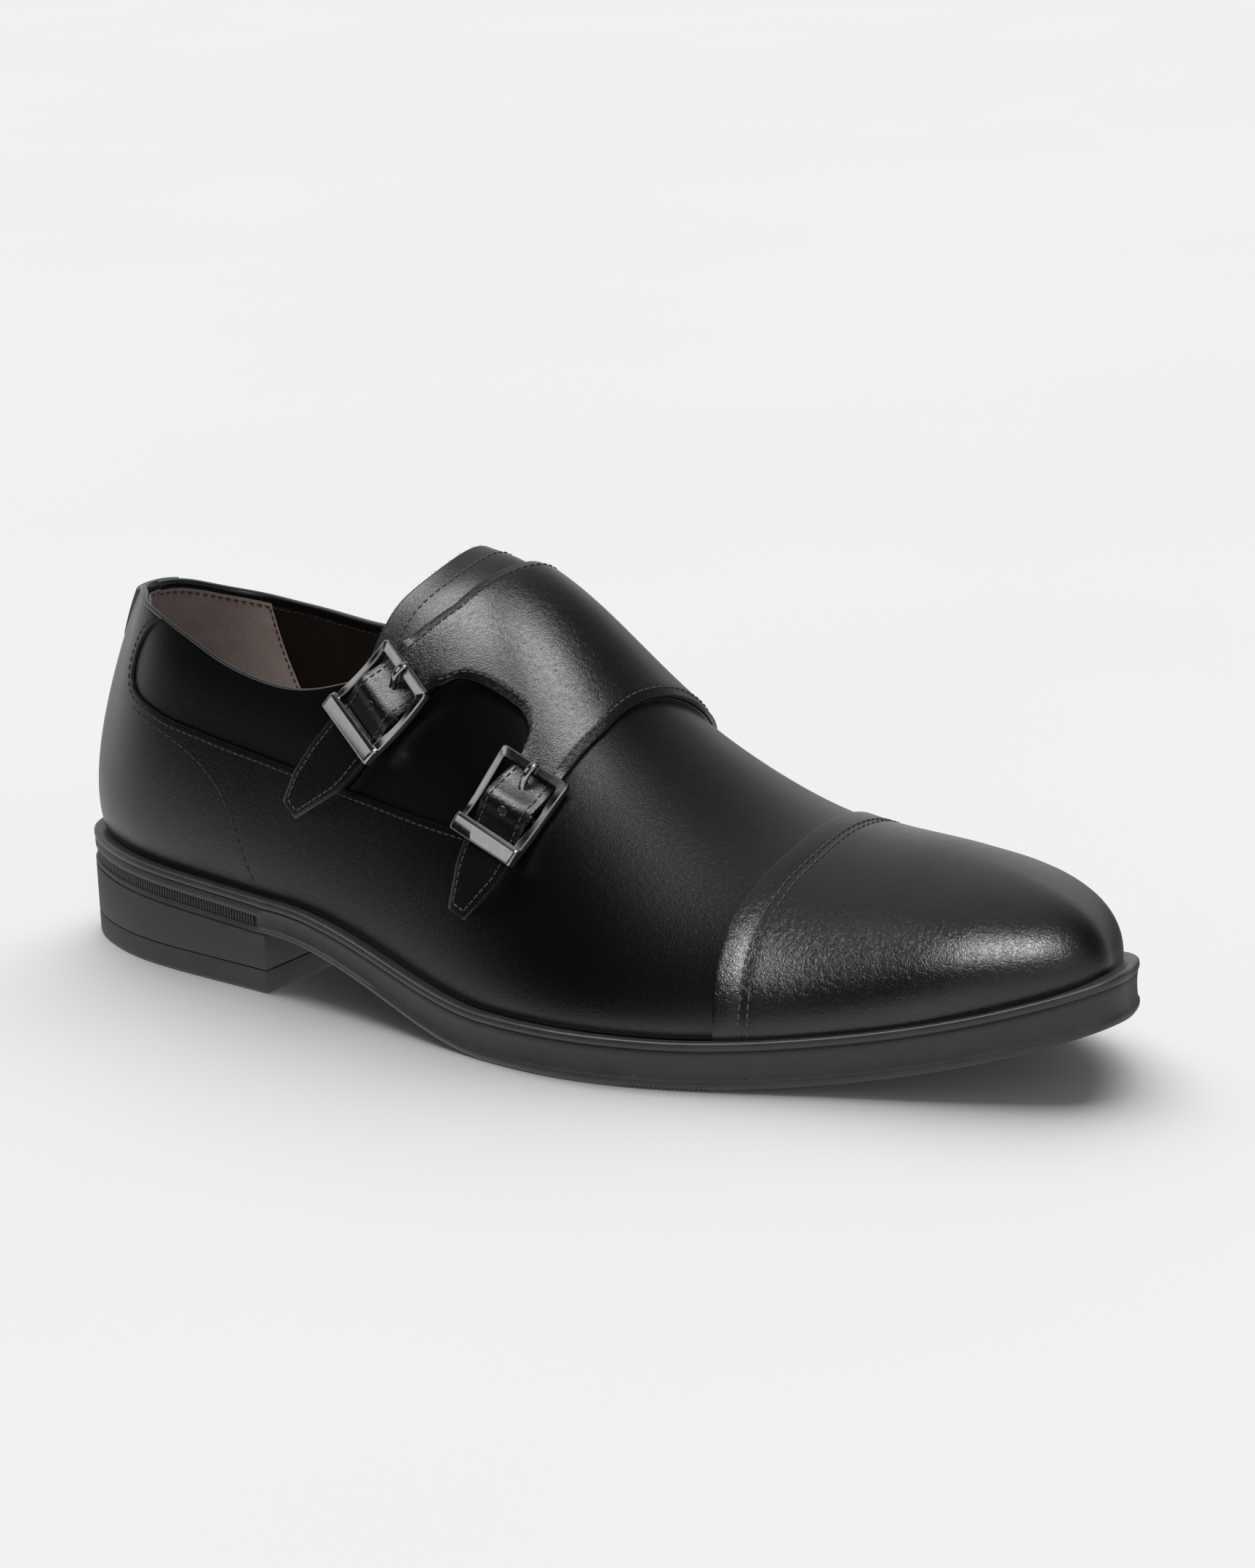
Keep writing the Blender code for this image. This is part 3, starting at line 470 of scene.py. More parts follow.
toe_inset = TOE_MARGIN * np.clip(
    (plan_x - TOE_MARGIN_START) / (LENGTH - TOE_MARGIN_START), 0, 1) ** 2
feather_loop = outline_ring(WELT_MARGIN + toe_inset, 0.0)
feather_loop = np.roll(feather_loop, -int(np.argmin(feather_loop[:, 0])), axis=0)
feather_tip = int(np.argmax(feather_loop[:, 0]))
LATERAL_FEATHER = feather_loop[:feather_tip + 1]
MEDIAL_FEATHER = np.vstack([feather_loop[feather_tip:], feather_loop[:1]])[::-1]
HEEL_BACK, TOE_FRONT = LATERAL_FEATHER[0, 0], LATERAL_FEATHER[-1, 0]


def feather_y(x, side):
    points = LATERAL_FEATHER if side == LATERAL else MEDIAL_FEATHER
    return np.interp(x, points[:, 0], points[:, 1])


def profile_frame(x, side):
    """The four control points of each profile, from the feather line to the ridge."""
    foot = np.column_stack([x, feather_y(x, side), feather(x)])
    top_x = HEEL_AXIS + AXIS_BLEND * np.logaddexp(0, (x - HEEL_AXIS) / AXIS_BLEND)
    top_x = np.minimum(top_x, TOE_AXIS)
    y, z = natural_spline(RIDGE, top_x).T
    step = 0.5
    ahead, behind = (natural_spline(RIDGE, top_x + way)[:, 1] for way in (step, -step))
    fall = (ahead - behind) / (2 * step)
    top = np.column_stack([top_x, y, z])
    out = unit(foot[:, :2] - top[:, :2])
    columns = slice(0, 3) if side == LATERAL else slice(3, 6)
    lean, pull, crown = natural_spline(SECTIONS, np.minimum(x, SECTIONS[-1][0]))[:, columns].T
    lean = np.radians(lean)
    rise = np.column_stack([out * np.sin(lean)[:, None], np.cos(lean)])
    reach = np.column_stack([out, out[:, 0] * fall])
    return foot, foot + rise * pull[:, None], top + reach * crown[:, None], top


def skin(x, side, v):
    """Points of the last's skin: profiles at x, each at its row of v."""
    x = np.asarray(x, float)
    a, b, c, d = (point[:, None, :] for point in profile_frame(x, side))
    v = np.broadcast_to(v, (len(x), np.shape(v)[-1]))[:, :, None]
    return a * (1 - v) ** 3 + 3 * b * v * (1 - v) ** 2 + 3 * c * v ** 2 * (1 - v) + d * v ** 3


def skin_normal(x, side, v):
    """Outward normals of the skin at single places."""
    step, v_step = 0.4, 0.01
    low = np.clip(v - v_step, 0, 1)[:, None]
    high = np.clip(v + v_step, 0, 1)[:, None]
    back = np.maximum(x - step, HEEL_BACK)
    front = np.minimum(x + step, TOE_FRONT)
    along = skin(front, side, v[:, None])[:, 0] - skin(back, side, v[:, None])[:, 0]
    up = skin(x, side, high)[:, 0] - skin(x, side, low)[:, 0]
    return unit(np.cross(along, up)) * -side


def on_last(x, side, v, lift=0.0):
    """Points on the last and its normals there; the leather's lift off it may differ."""
    x, side, v, lift = np.broadcast_arrays(x, side, v, lift)
    shape = x.shape
    x, side, v, lift = (np.ravel(item).astype(float) for item in (x, side, v, lift))
    points, normals = np.empty((len(x), 3)), np.empty((len(x), 3))
    for way in (LATERAL, MEDIAL):
        here = np.flatnonzero(side == way)
        if len(here):
            points[here] = skin(x[here], way, v[here][:, None])[:, 0]
            normals[here] = skin_normal(x[here], way, np.minimum(v[here], 0.995))
    points += normals * lift[:, None]
    return points.reshape(shape + (3,)), normals.reshape(shape + (3,))


def v_at_height(x, side, z):
    """How far up their profiles the skin reaches given heights."""
    x, z = np.broadcast_arrays(np.asarray(x, float), z)
    v = np.linspace(0, 1, 161)
    out = np.empty(x.size)
    for k, (place, height) in enumerate(zip(x.ravel(), z.ravel())):
        line = skin([place], side, v)[0]
        out[k] = np.interp(height, np.maximum.accumulate(line[:, 2]), v)
    return out.reshape(x.shape)


def across_lengths(points):
    """Distance along each row of a grid at each of its points."""
    steps = np.linalg.norm(np.diff(points, axis=1), axis=2)
    return np.concatenate([np.zeros((len(points), 1)), steps.cumsum(axis=1)], axis=1)


def v_at_girth(x, girth):
    """How far up their profiles points lie at given distances from the ridge along the skin;
    a distance on the lateral side is negative."""
    x, girth = np.broadcast_arrays(np.asarray(x, float), girth)
    v = np.linspace(1, 0, 121)
    flat_x, flat_girth = x.ravel(), girth.ravel()
    out = np.empty(x.size)
    for way in (LATERAL, MEDIAL):
        here = np.flatnonzero((flat_girth <= 0) == (way == LATERAL))
        for part in np.array_split(here, max(1, len(here) // 8000)):
            for k, row in zip(part, across_lengths(skin(flat_x[part], way, v))):
                out[k] = np.interp(abs(flat_girth[k]), row, v)
    return out.reshape(x.shape)


def by_girth(x, girth, lift=0.0):
    """Points and normals at distances from the ridge, lifted off the last."""
    x, girth = np.broadcast_arrays(np.asarray(x, float), girth)
    return on_last(x, np.where(girth <= 0, LATERAL, MEDIAL), v_at_girth(x, girth), lift)


def stations(start, end, count):
    """Places along the shoe, closer together towards the back of the heel."""
    return start + (end - start) * (1 - np.cos(np.pi / 2 * np.linspace(0, 1, count + 1)))


def make_leather(name, grain=1.0, gloss=0.0, tint=(0.0030, 0.0031, 0.0038)):
    """Black aniline calf: small soft pebbles with fine cracks between them, a cloudy shine and
    a thin wax coat. Grain is the height of its pebbles, gloss makes it shinier."""
    material, tree, shader, where = new_finish(name)
    waver = add_node(tree, "TexNoise", Vector=where, Scale=700.0, Detail=2.0)
    shifted = add_node(tree, "MixRGB", blend_type="LINEAR_LIGHT", Fac=0.0011,
                       Color1=where, Color2=waver.outputs["Color"])
    pebbles = add_node(tree, "TexVoronoi", feature="SMOOTH_F1", Vector=shifted.outputs["Color"],
                       Scale=2500.0, Smoothness=0.5)
    cracks = add_node(tree, "TexVoronoi", feature="DISTANCE_TO_EDGE",
                      Vector=shifted.outputs["Color"], Scale=1900.0)
    pores = add_noise(tree, where, 5200.0, 2.0)
    clouds = add_noise(tree, where, 55.0, 4.0, Roughness=0.6)
    swell = add_noise(tree, where, 42.0, 1.0)
    dark = [channel * 0.7 for channel in tint]
    light = [channel * 1.35 for channel in tint]
    colour = add_ramp(tree, clouds, 0.3, 0.72, dark, light)
    shine = add_node(tree, "MapRange", Value=clouds, From_Min=0.3, From_Max=0.7,
                     To_Min=0.35 - gloss, To_Max=0.28 - gloss)
    crack_depth = add_node(tree, "MapRange", Value=cracks.outputs["Distance"], From_Max=0.16)
    bent = add_bump(tree, swell, 0.07, 0.0011)
    bent = add_bump(tree, pebbles.outputs["Distance"], 0.40 * grain, 0.00009, invert=True,
                    Normal=bent)
    bent = add_bump(tree, crack_depth.outputs["Result"], 0.18 * grain, 0.00003, Normal=bent)
    bent = add_bump(tree, pores, 0.10 * grain, 0.00003, Normal=bent)
    fill(tree, shader, Base_Color=colour, Roughness=shine.outputs["Result"], Normal=bent,
         Coat_Weight=0.12, Coat_Roughness=0.3)
    return material


def join_sheets(*sheets):
    """Points and faces of several grids in one piece; where their edges meet they merge."""
    points, faces, first = [], [], 0
    for sheet in sheets:
        rows, columns = sheet.shape[:2]
        faces.append(grid_faces(rows, columns) + first)
        points.append(sheet.reshape(-1, 3))
        first += rows * columns
    return np.vstack(points), np.vstack(faces)


# the cut edges' colour: lighter than the leather, partly real edge paint and partly a painted
# highlight along every edge
edge_paint_and_highlight = make_leather("edge_paint_and_highlight", grain=0.3, gloss=0.10, tint=(0.020, 0.020, 0.021))
DEEP_INSIDE = (150, 0, 30)


def set_leather(name, sheets, material, slot, thickness, nodes=(), round_edge=0.3,
                inside=DEEP_INSIDE):
    """A leather piece from its outer face, turned away from a point inside the shoe. It gets its
    thickness, and its cut edges are rounded and painted a lighter grey than the leather: partly
    their own edge paint, partly a painted highlight."""
    piece = set_down(name, *join_sheets(*sheets), material, slot, nodes)
    middle = Vector((np.array(inside) - ORIGIN) * MM)
    votes = sum(
        1 if face.normal.dot(face.center - middle) > 0 else -1 for face in piece.data.polygons)
    if votes < 0:
        piece.data.flip_normals()
    piece.data.materials.append(edge_paint_and_highlight)
    shell = piece.modifiers.new("leather", "SOLIDIFY")
    shell.material_offset_rim = 1
    shell.thickness = thickness * MM
    shell.offset = -1
    shell.use_rim = True
    rim = piece.modifiers.new("rounded_edge", "BEVEL")
    rim.width = round_edge * MM
    rim.segments = 3
    rim.limit_method = "ANGLE"
    rim.angle_limit = np.radians(50)


vamp_leather = make_leather("vamp_leather")
SEAM_COLUMNS, POINT_COLUMNS = 40, 16     # from the welt up to the seam, from there to the topline
CROWN_COLUMNS, MEDIAL_COLUMNS = 34, 64
HEEL_ROWS, FRONT_ROWS = 26, 54
SEAM_STEP = 1.45
curl = smooth_curve(SEAM_CURL, 61)
turn = int(np.argmin(curl[:, 0]))        # where the curl reaches furthest back
seam_columns = int((VAMP_REAR - SEAM_CURL[-1][0]) / SEAM_STEP)
seam_x = np.linspace(curl[-1, 0], VAMP_REAR, seam_columns)[1:]
seam = np.column_stack([seam_x, natural_spline(SIDE_SEAM, seam_x)[:, 0]])


def heel_top(x):
    """Height of the topline behind the curl, a little lower right at the back."""
    line = smooth_curve(HEEL_TOP, 60)
    return np.interp(x, line[:, 0], line[:, 1]) - BACK_DIP * (1 - ease(x, HEEL_BACK, 8))


def side_grid(low_x, low_v, top_x, top_z, columns):
    """x and v of rows that run up the outer side from one line to another."""
    top_v = v_at_height(top_x, LATERAL, top_z)
    share = np.linspace(0, 1, columns + 1)
    x = low_x[:, None] + (top_x - low_x)[:, None] * share ** 2
    return x, low_v[:, None] + (top_v - low_v)[:, None] * share


# below, from the welt up to the curl's lower half and the seam
behind = np.column_stack([stations(HEEL_BACK, curl[turn, 0], HEEL_ROWS)[:-1],
                          np.full(HEEL_ROWS, curl[turn, 1])])
edge = np.vstack([behind, curl[turn:], seam])
foot_x = edge[:, 0].copy()
foot_rows = HEEL_ROWS + len(curl) - turn
foot_x[:foot_rows] = stations(HEEL_BACK, curl[-1, 0], foot_rows - 1)
side_x, side_v = side_grid(foot_x, np.zeros(len(edge)), edge[:, 0], edge[:, 1], SEAM_COLUMNS)
side_points, _ = on_last(side_x, LATERAL, side_v)
# above, from there to the topline, in a point that ends where the curl meets it
edge = np.vstack([behind, curl[turn::-1]])
top_x = edge[:, 0].copy()
top_x[HEEL_ROWS:] = np.linspace(curl[turn, 0], curl[0, 0], turn + 1)
edge_v = v_at_height(edge[:, 0], LATERAL, edge[:, 1])
point_x, point_v = side_grid(edge[:, 0], edge_v, top_x, heel_top(top_x), POINT_COLUMNS)
point_points, _ = on_last(point_x, LATERAL, point_v)
front_x = np.linspace(VAMP_REAR, CAP_REAR + LAP, FRONT_ROWS)
settle = ease(front_x, VAMP_REAR, CAP_REAR)[:, None]
v_line = side_v[-1, -1] * (1 - settle) + 0.5 * settle
lateral_v = np.hstack([
    v_line * np.linspace(0, 1, SEAM_COLUMNS + 1),
    v_line + (1 - v_line) * np.linspace(0, 1, CROWN_COLUMNS + 1)[1:]])
medial_v = np.linspace(1, 0, MEDIAL_COLUMNS + 1)[1:] * np.ones((FRONT_ROWS, 1))
front_v = np.hstack([lateral_v, medial_v])
front_side = np.where(np.arange(front_v.shape[1]) < lateral_v.shape[1], LATERAL, MEDIAL)
upwards = ease(front_v, side_v[-1, -1], SLANT_TOP)
front_slant = VAMP_SLANT * upwards * (1 - ease(front_x, VAMP_REAR, SLANT_END))[:, None]
front_points, _ = on_last(front_x[:, None] + front_slant, front_side, front_v)
set_leather("vamp", [side_points, point_points, front_points], vamp_leather, "upper",
            VAMP_LEATHER, ["upper"])

# ---- collar piece ----------------------------------------------------------------------------
# The softer piece under the outer ankle. Its lower edge and its rear end are tucked under the
# outer side and stitched there, so it lies about a millimetre deeper along that seam.
COLLAR_LEATHER = 1.0
COLLAR_REAR, COLLAR_FRONT = 23.0, 170.0
COLLAR_DROP = 0.92       # depth below the outer side at the seam
COLLAR_RISE = 0.55       # it comes up by this much away from the seam
COLLAR_TUCK = 4.0        # it runs this far under the seam
COLLAR_COLUMNS = 36
STRAP_COVERS = 106       # x where its upper edge goes under the rear strap
# its upper edge: height of the topline, then distance from the ridge under strap and flap
OUTER_TOPLINE = (
    (0, 92.5), (10, 93.0), (22, 93.0), (31, 92.4), (36, 91.6), (43, 89.5), (52, 86.0), (61, 82.2),
    (70, 79.6), (79, 78.1), (87, 78.0), (95, 79.4), (100, 80.8), (106, 82.6),
)
OUTER_TOP_FRONT = (
    (106, -45.6), (113, -41.5), (122, -35.5), (135, -29.0), (150, -25.0), (170, -22.5))
# the seam again, told straight on behind the curl
SEAM_BEHIND = ((0, 66.5), (30, 66.5), (43, 66.0))
collar_x = np.concatenate([
    np.linspace(COLLAR_REAR, STRAP_COVERS, 66)[:-1], np.linspace(STRAP_COVERS, COLLAR_FRONT, 46)])
seam_z = np.interp(collar_x, *np.array(SEAM_BEHIND + SIDE_SEAM[2:]).T)
collar_low = v_at_height(collar_x, LATERAL, seam_z - COLLAR_TUCK)
topline_z = natural_spline(OUTER_TOPLINE, np.minimum(collar_x, STRAP_COVERS))[:, 0]
collar_girth = natural_spline(OUTER_TOP_FRONT, np.maximum(collar_x, STRAP_COVERS))[:, 0]
collar_high = np.where(
    collar_x < STRAP_COVERS, v_at_height(collar_x, LATERAL, topline_z),
    v_at_girth(collar_x, collar_girth))
collar_share = np.linspace(0, 1, COLLAR_COLUMNS + 1)
collar_v = collar_low[:, None] + (collar_high - collar_low)[:, None] * collar_share
seam_v = v_at_height(collar_x, LATERAL, seam_z)
rise_from_seam = ease(collar_v - seam_v[:, None], 0.0, 0.12)
from_curl = ease(np.broadcast_to(collar_x[:, None], collar_v.shape), 30, 50)
collar_lift = -COLLAR_DROP + COLLAR_RISE * rise_from_seam * from_curl
collar_points, _ = on_last(collar_x[:, None], LATERAL, collar_v, collar_lift)
collar_leather = make_leather("collar_leather", grain=0.8)
set_leather("collar_piece", [collar_points], collar_leather, "upper", COLLAR_LEATHER)

# ---- toe cap ---------------------------------------------------------------------------------
# A straight cap of polished calf laid over the vamp, its folded rear edge held by two close
# rows of stitching.
CAP_LIFT, CAP_LEATHER = 1.15, 1.0
CAP_COLUMNS = 120        # across, from welt to welt
CAP_BODY_ROWS = 40       # straight rows up to the toe's centre, where they begin to fan
CAP_SMOOTHING = 12       # rounds, over this many rows on each side of the toe's centre
CAP_SMOOTHED = 9
CAP_FOLD = (0.03, 2.4, 1.6)              # swell of the folded edge: height, place, half width
CAP_CHANNEL = (-0.20, 6.5, 1.5)          # and of the shallow channel under the stitches
CAP_HIDDEN = 0.3         # its lower edge goes this far below the welt's ledge
# how far the rear edge lies off CAP_REAR: height, shift
CAP_EDGE = ((12, 0.0), (21, 0.0), (29, -1.0), (38, -1.6), (45, -0.4), (50, 1.8), (56, 3.0))


def cap_grid():
    """The straight rows ahead of the rear edge, then the fan: a half square bent into the half
    disc round the toe's centre."""
    across = np.linspace(-1, 1, CAP_COLUMNS + 1)
    side = np.where(across <= 0, LATERAL, MEDIAL)
    v = 1 - np.abs(across)
    edge, _ = on_last(np.full(len(v), CAP_REAR), side, v)
    shift = np.interp(edge[:, 2], *np.array(CAP_EDGE).T)
    share = np.linspace(0, 1, CAP_BODY_ROWS + 1)[:, None]
    x = CAP_REAR + (TOE_AXIS - CAP_REAR) * share + shift * (1 - share)
    body, _ = on_last(x, side, np.broadcast_to(v, x.shape))
    a, b = np.meshgrid(np.linspace(0, 1, CAP_COLUMNS // 2 + 1)[1:], across, indexing="ij")
    forwards, sideways = a * np.sqrt(1 - b ** 2 / 2), b * np.sqrt(1 - a ** 2 / 2)
    reach = np.minimum(np.hypot(forwards, sideways), 1.0)
    # the fan's directions: from straight across at the toe's centre to straight ahead
    swing = np.arctan2(np.abs(sideways), forwards) / (np.pi / 2)
    feet = np.where(sideways <= 0, LATERAL, MEDIAL)
    fan_x = TOE_AXIS + (TOE_FRONT - TOE_AXIS) * np.cos(np.pi / 2 * swing) ** 0.9
    fan, _ = on_last(fan_x, feet, 1 - reach)
    return np.vstack([body, fan])


def smooth_grid(points, rounds, keep):
    """Relaxes a grid's inner points; keep is 0 where they may move and 1 where they stay."""
    for _ in range(rounds):
        middle = points[1:-1, 1:-1]
        mean = (points[:-2, 1:-1] + points[2:, 1:-1] + points[1:-1, :-2] + points[1:-1, 2:]) / 4
        points[1:-1, 1:-1] = middle + (mean - middle) * 0.5 * (1 - keep[1:-1, 1:-1])[..., None]
    return points


def grid_normals(points):
    """Outward normals of a grid from its own neighbours."""
    along, across = np.gradient(points, axis=0), np.gradient(points, axis=1)
    normals = unit(np.cross(along, across))
    outward = points - np.array([points[..., 0].mean(), 0, 20])
    return normals * np.where((normals * outward).sum() < 0, -1, 1)


cap_points = cap_grid()
cap_keep = np.ones(cap_points.shape[:2])
near_axis = np.abs(np.arange(len(cap_points)) - CAP_BODY_ROWS) < CAP_SMOOTHED
cap_keep[near_axis, 3:-3] = 0.0
cap_points = smooth_grid(cap_points, CAP_SMOOTHING, cap_keep)
cap_normals = grid_normals(cap_points)
from_edge = across_lengths(cap_points.transpose(1, 0, 2)).T
cap_relief = sum(
    rise * np.exp(-((from_edge - place) / half) ** 2)
    for rise, place, half in (CAP_FOLD, CAP_CHANNEL))
cap_outer = cap_points + cap_normals * (CAP_LIFT + cap_relief)[..., None]
ledge = feather(np.minimum(cap_outer[..., 0], LENGTH)) - CAP_HIDDEN
cap_outer[..., 2] = np.maximum(cap_outer[..., 2], ledge)
cap_leather = make_leather("cap_leather", grain=1.2, gloss=0.07)
set_leather("toe_cap", [cap_outer], cap_leather, "toe_cap", CAP_LEATHER, ["toe_cap"],
            round_edge=0.45, inside=(250, 5, 25))


def on_grid(points, rows, columns):
    """Points and normals at fractional places of a grid."""
    normals = grid_normals(points)
    rows = np.clip(rows, 0, points.shape[0] - 1.001)
    columns = np.clip(columns, 0, points.shape[1] - 1.001)
    i, j = rows.astype(int), columns.astype(int)
    s, t = (rows - i)[:, None], (columns - j)[:, None]
    read = [
        (1 - s) * (1 - t) * item[i, j] + s * (1 - t) * item[i + 1, j]
        + (1 - s) * t * item[i, j + 1] + s * t * item[i + 1, j + 1] for item in (points, normals)]
    return read[0], unit(read[1])


def read_along(places, along, points):
    """Points that are told by their places along a path, read at other places."""
    return np.stack([np.interp(places, along, points[:, k]) for k in range(3)], axis=-1)


# one stitch: place along it and height off the leather, as shares of its length and of the
# thread's thickness, and how thick it is there
STITCH_RINGS = ((-0.5, -0.9, 0.55), (-0.4, -0.1, 0.95), (-0.15, 0.25, 1.0), (0.15, 0.25, 1.0),
                (0.4, -0.1, 0.95), (0.5, -0.9, 0.55))
STITCH_SIDES = 7
STITCH_LOOK = 0.6        # a stitch points along the path between places this far to each side


def stitch_row(points, normals, pitch=2.2, length=1.75, thread=0.24, slant=0.0):
    """Stitches along a path on the leather. Slant turns each one a little off the path."""
    along = run_length(points)
    count = max(1, int(round(along[-1] / pitch)))
    places = (np.arange(count) + 0.5) * along[-1] / count
    middle, up = read_along(places, along, points), unit(read_along(places, along, normals))
    way = read_along(places + STITCH_LOOK, along, points)
    way = way - read_along(places - STITCH_LOOK, along, points)
    way = unit(way - up * (way * up).sum(axis=1, keepdims=True))
    beside = np.cross(up, way)
    way = unit(way + beside * np.tan(np.radians(slant)))
    beside = np.cross(up, way)
    rings = []
    angles = 2 * np.pi * np.arange(STITCH_SIDES) / STITCH_SIDES
    for share, height, thick in STITCH_RINGS:
        centre = middle + way * (share * length) + up * (height * thread)
        rings.append(
            centre[:, None, :] + thread * thick * (
                np.cos(angles)[None, :, None] * beside[:, None, :]
                + np.sin(angles)[None, :, None] * up[:, None, :]))
    made = np.stack(rings, axis=1).reshape(-1, 3)
    size = len(STITCH_RINGS) * STITCH_SIDES
    walls = grid_faces(len(STITCH_RINGS), STITCH_SIDES, round_columns=True)
    faces = [face for k in range(count) for face in (walls + k * size).tolist()]
    ends = [list(range(STITCH_SIDES))[::-1], list(range(size - STITCH_SIDES, size))]
    faces += [[corner + k * size for corner in end] for k in range(count) for end in ends]
    return made, faces


def set_stitching(name, rows, material, slot):
    """One piece of all the stitches of some rows."""
    points, faces, first = [], [], 0
    for row_points, row_faces in rows:
        faces += [[corner + first for corner in face] for face in row_faces]
        points.append(row_points)
        first += len(row_points)
    return set_down(name, np.vstack(points), faces, material, slot, sharp=80)


def make_thread(name, dark, light, scale=4200.0, relief=(0.5, 0.00005), roughness=0.55,
                sheen=0.06):
    """Spun or woven threads: fine fibres, darker and lighter, with a little sheen."""
    material, tree, shader, where = new_finish(name)
    fibres = add_noise(tree, where, scale, 2.0)
    colour = add_ramp(tree, fibres, 0.35, 0.7, dark, light)
    fill(tree, shader, Base_Color=colour, Normal=add_bump(tree, fibres, *relief),
         Roughness=roughness, Sheen_Weight=sheen)
    return material


# black thread painted a lighter grey than its own colour: its dark fibres plus a painted highlight
# that makes the stitches show
highlit_black_thread = make_thread("highlit_black_thread", (0.016, 0.016, 0.019), (0.050, 0.050, 0.057))
CAP_STITCH_BACK, CAP_STITCH_GAP = 5.6, 1.9     # from the rear edge, and between the rows
cap_centre = CAP_COLUMNS // 2
cap_row_length = np.linalg.norm(cap_outer[1, cap_centre] - cap_outer[0, cap_centre])
cap_columns = np.linspace(0.6, CAP_COLUMNS - 0.6, 400)
cap_rows = [
    stitch_row(*on_grid(cap_outer, np.full(400, back / cap_row_length), cap_columns), thread=0.27)
    for back in (CAP_STITCH_BACK, CAP_STITCH_BACK + CAP_STITCH_GAP)]
set_stitching("cap_stitching", cap_rows, highlit_black_thread, "toe_cap")

# ---- inner quarter, flap and straps ----------------------------------------------------------
# One more piece of calf: the inner quarter, which lies over the vamp from the inner side, runs
# on over the instep as the lined flap, and splits into the two straps. An elastic gusset lets
# it open at the topline, so there the piece is slit down to a point.
QUARTER_LIFT, QUARTER_COLUMNS = 1.2, 55
QUARTER_RISES = 40       # x where it begins to lift off the last, over the tongue
FLAP_TOP, FLAP_LEATHER = 2.7, 1.15       # height of its upper face, and its thickness
FLAP_RISES = (-41, -22)  # from the quarter's height, told by the distance from the ridge
EDGE_PULL, EDGE_ROUND = 0.5, 2.7         # how far, and how near to it, an edge is pulled down
FRONT_SLANT = 5.0        # the quarter's front edge lies this much further back at the welt
SLIT_START = 124.0       # x where the slit opens at the topline
SLIT_POINT = (150.0, 38.0)               # x and distance from the ridge
FLAP_CORNER = (170.0, 42.0)
HEEL_CURVE_END = 60.0    # behind this the places along the shoe lie closer together
INNER_TOPLINE = (
    (0, 92.5), (10, 91.0), (22, 88.0), (34, 85.5), (43, 84.0), (52, 83.0), (61, 82.0), (70, 81.2),
    (80, 81.2), (90, 82.4), (98, 83.9), (110, 86.2), (124, 88.7),
)
SLIT_BACK_EDGE = ((124.0, 30.0), (137.0, 34.4), (150.0, 38.0))
# edges of the flap: distance from the ridge, x of the upper edge, x of the front edge
FLAP = (
    (-20, 127.8, 170.8), (-8, 133.4, 172.0), (0, 136.5, 173.4), (10, 136.3, 174.8),
    (20, 133.0, 174.8), (30, 140.0, 172.8), (40, 150.0, 169.4),
)
CUT_OUT = (
    (131.6, -39.2), (133.5, -37.3), (136.9, -35.5), (140.4, -34.6), (145.2, -33.9),
    (150.1, -33.3), (153.6, -33.2), (155.9, -34.6), (156.8, -37.4),
)
# a strap's middle line, from the flap to its tip: distance from the ridge, x
REAR_STRAP = ((-37, 123.2), (-50, 113.9), (-63, 104.7), (-70, 99.6), (-83, 89.8))
FRONT_STRAP = (
    (-41, 161.5), (-47, 159.8), (-55, 157.5), (-68, 153.9), (-75, 152.0), (-86.2, 148.5))
# and its half widths on the heel side and on the toe side
REAR_HEEL_SIDE = ((-84, 3.0), (-76, 6.1), (-68, 7.3), (-62, 7.4), (-37, 7.4))
REAR_TOE_SIDE = ((-84, 2.4), (-70, 7.2), (-67, 7.6), (-62, 7.5), (-37, 7.5))
FRONT_HEEL_SIDE = ((-87, 3.0), (-74, 6.5), (-68, 7.1), (-55, 6.9), (-47, 6.8), (-41, 5.8))
FRONT_TOE_SIDE = ((-87, 2.7), (-72, 7.1), (-67.5, 7.3), (-60, 6.9), (-52, 6.7), (-41, 6.2))
REAR_CENTRE_BAR, FRONT_CENTRE_BAR = -48.8, -53.3
STRAPS = (
    (REAR_STRAP, REAR_HEEL_SIDE, REAR_TOE_SIDE, REAR_CENTRE_BAR),
    (FRONT_STRAP, FRONT_HEEL_SIDE, FRONT_TOE_SIDE, FRONT_CENTRE_BAR),
)
STRAP_RISE, HUMP_LENGTH = 2.3, 4.2       # the hump over the buckle's middle bar
STRAP_COLUMNS, CUT_OUT_COLUMNS = 12, 20
STRAP_SHARES = (0.28, 0.78)
STRAP_STEP = 0.9
CREASE, CREASE_WIDTH = 0.13, 0.55        # the small creases where a strap bends
CREASE_PLACES = (-6.8, -5.2, -3.4, 3.0, 4.4, 6.1, 8.3)      # along it from the middle bar
EDGE_DOWN = 0.3          # a strap's edges turn down by this much


def strap_frames(strap, girth):
    """Along a strap's middle line: x, the steps in x and girth for 1 mm straight across it, and
    its length along for 1 mm of girth."""
    girth = np.atleast_1d(np.asarray(girth, float))
    rows = [(-distance, x) for distance, x in strap]
    x, x_below = (natural_spline(rows, shift - girth)[:, 0] for shift in (0, 1))
    centre, ahead, higher, below = (
        by_girth(a, b)[0] for a, b in (
            (x, girth), (x + 1, girth), (x, girth + 1), (x_below, girth - 1)))
    steps = np.stack([ahead - centre, higher - centre], axis=-1)
    normal = np.cross(steps[..., 0], steps[..., 1])
    across = unit(np.cross(below - centre, normal))
    across *= np.where(across[:, :1] > 0, 1, -1)
    turn = np.array([np.linalg.lstsq(a, b, rcond=None)[0] for a, b in zip(steps, across)])
    return x, turn, np.linalg.norm(below - centre, axis=1)


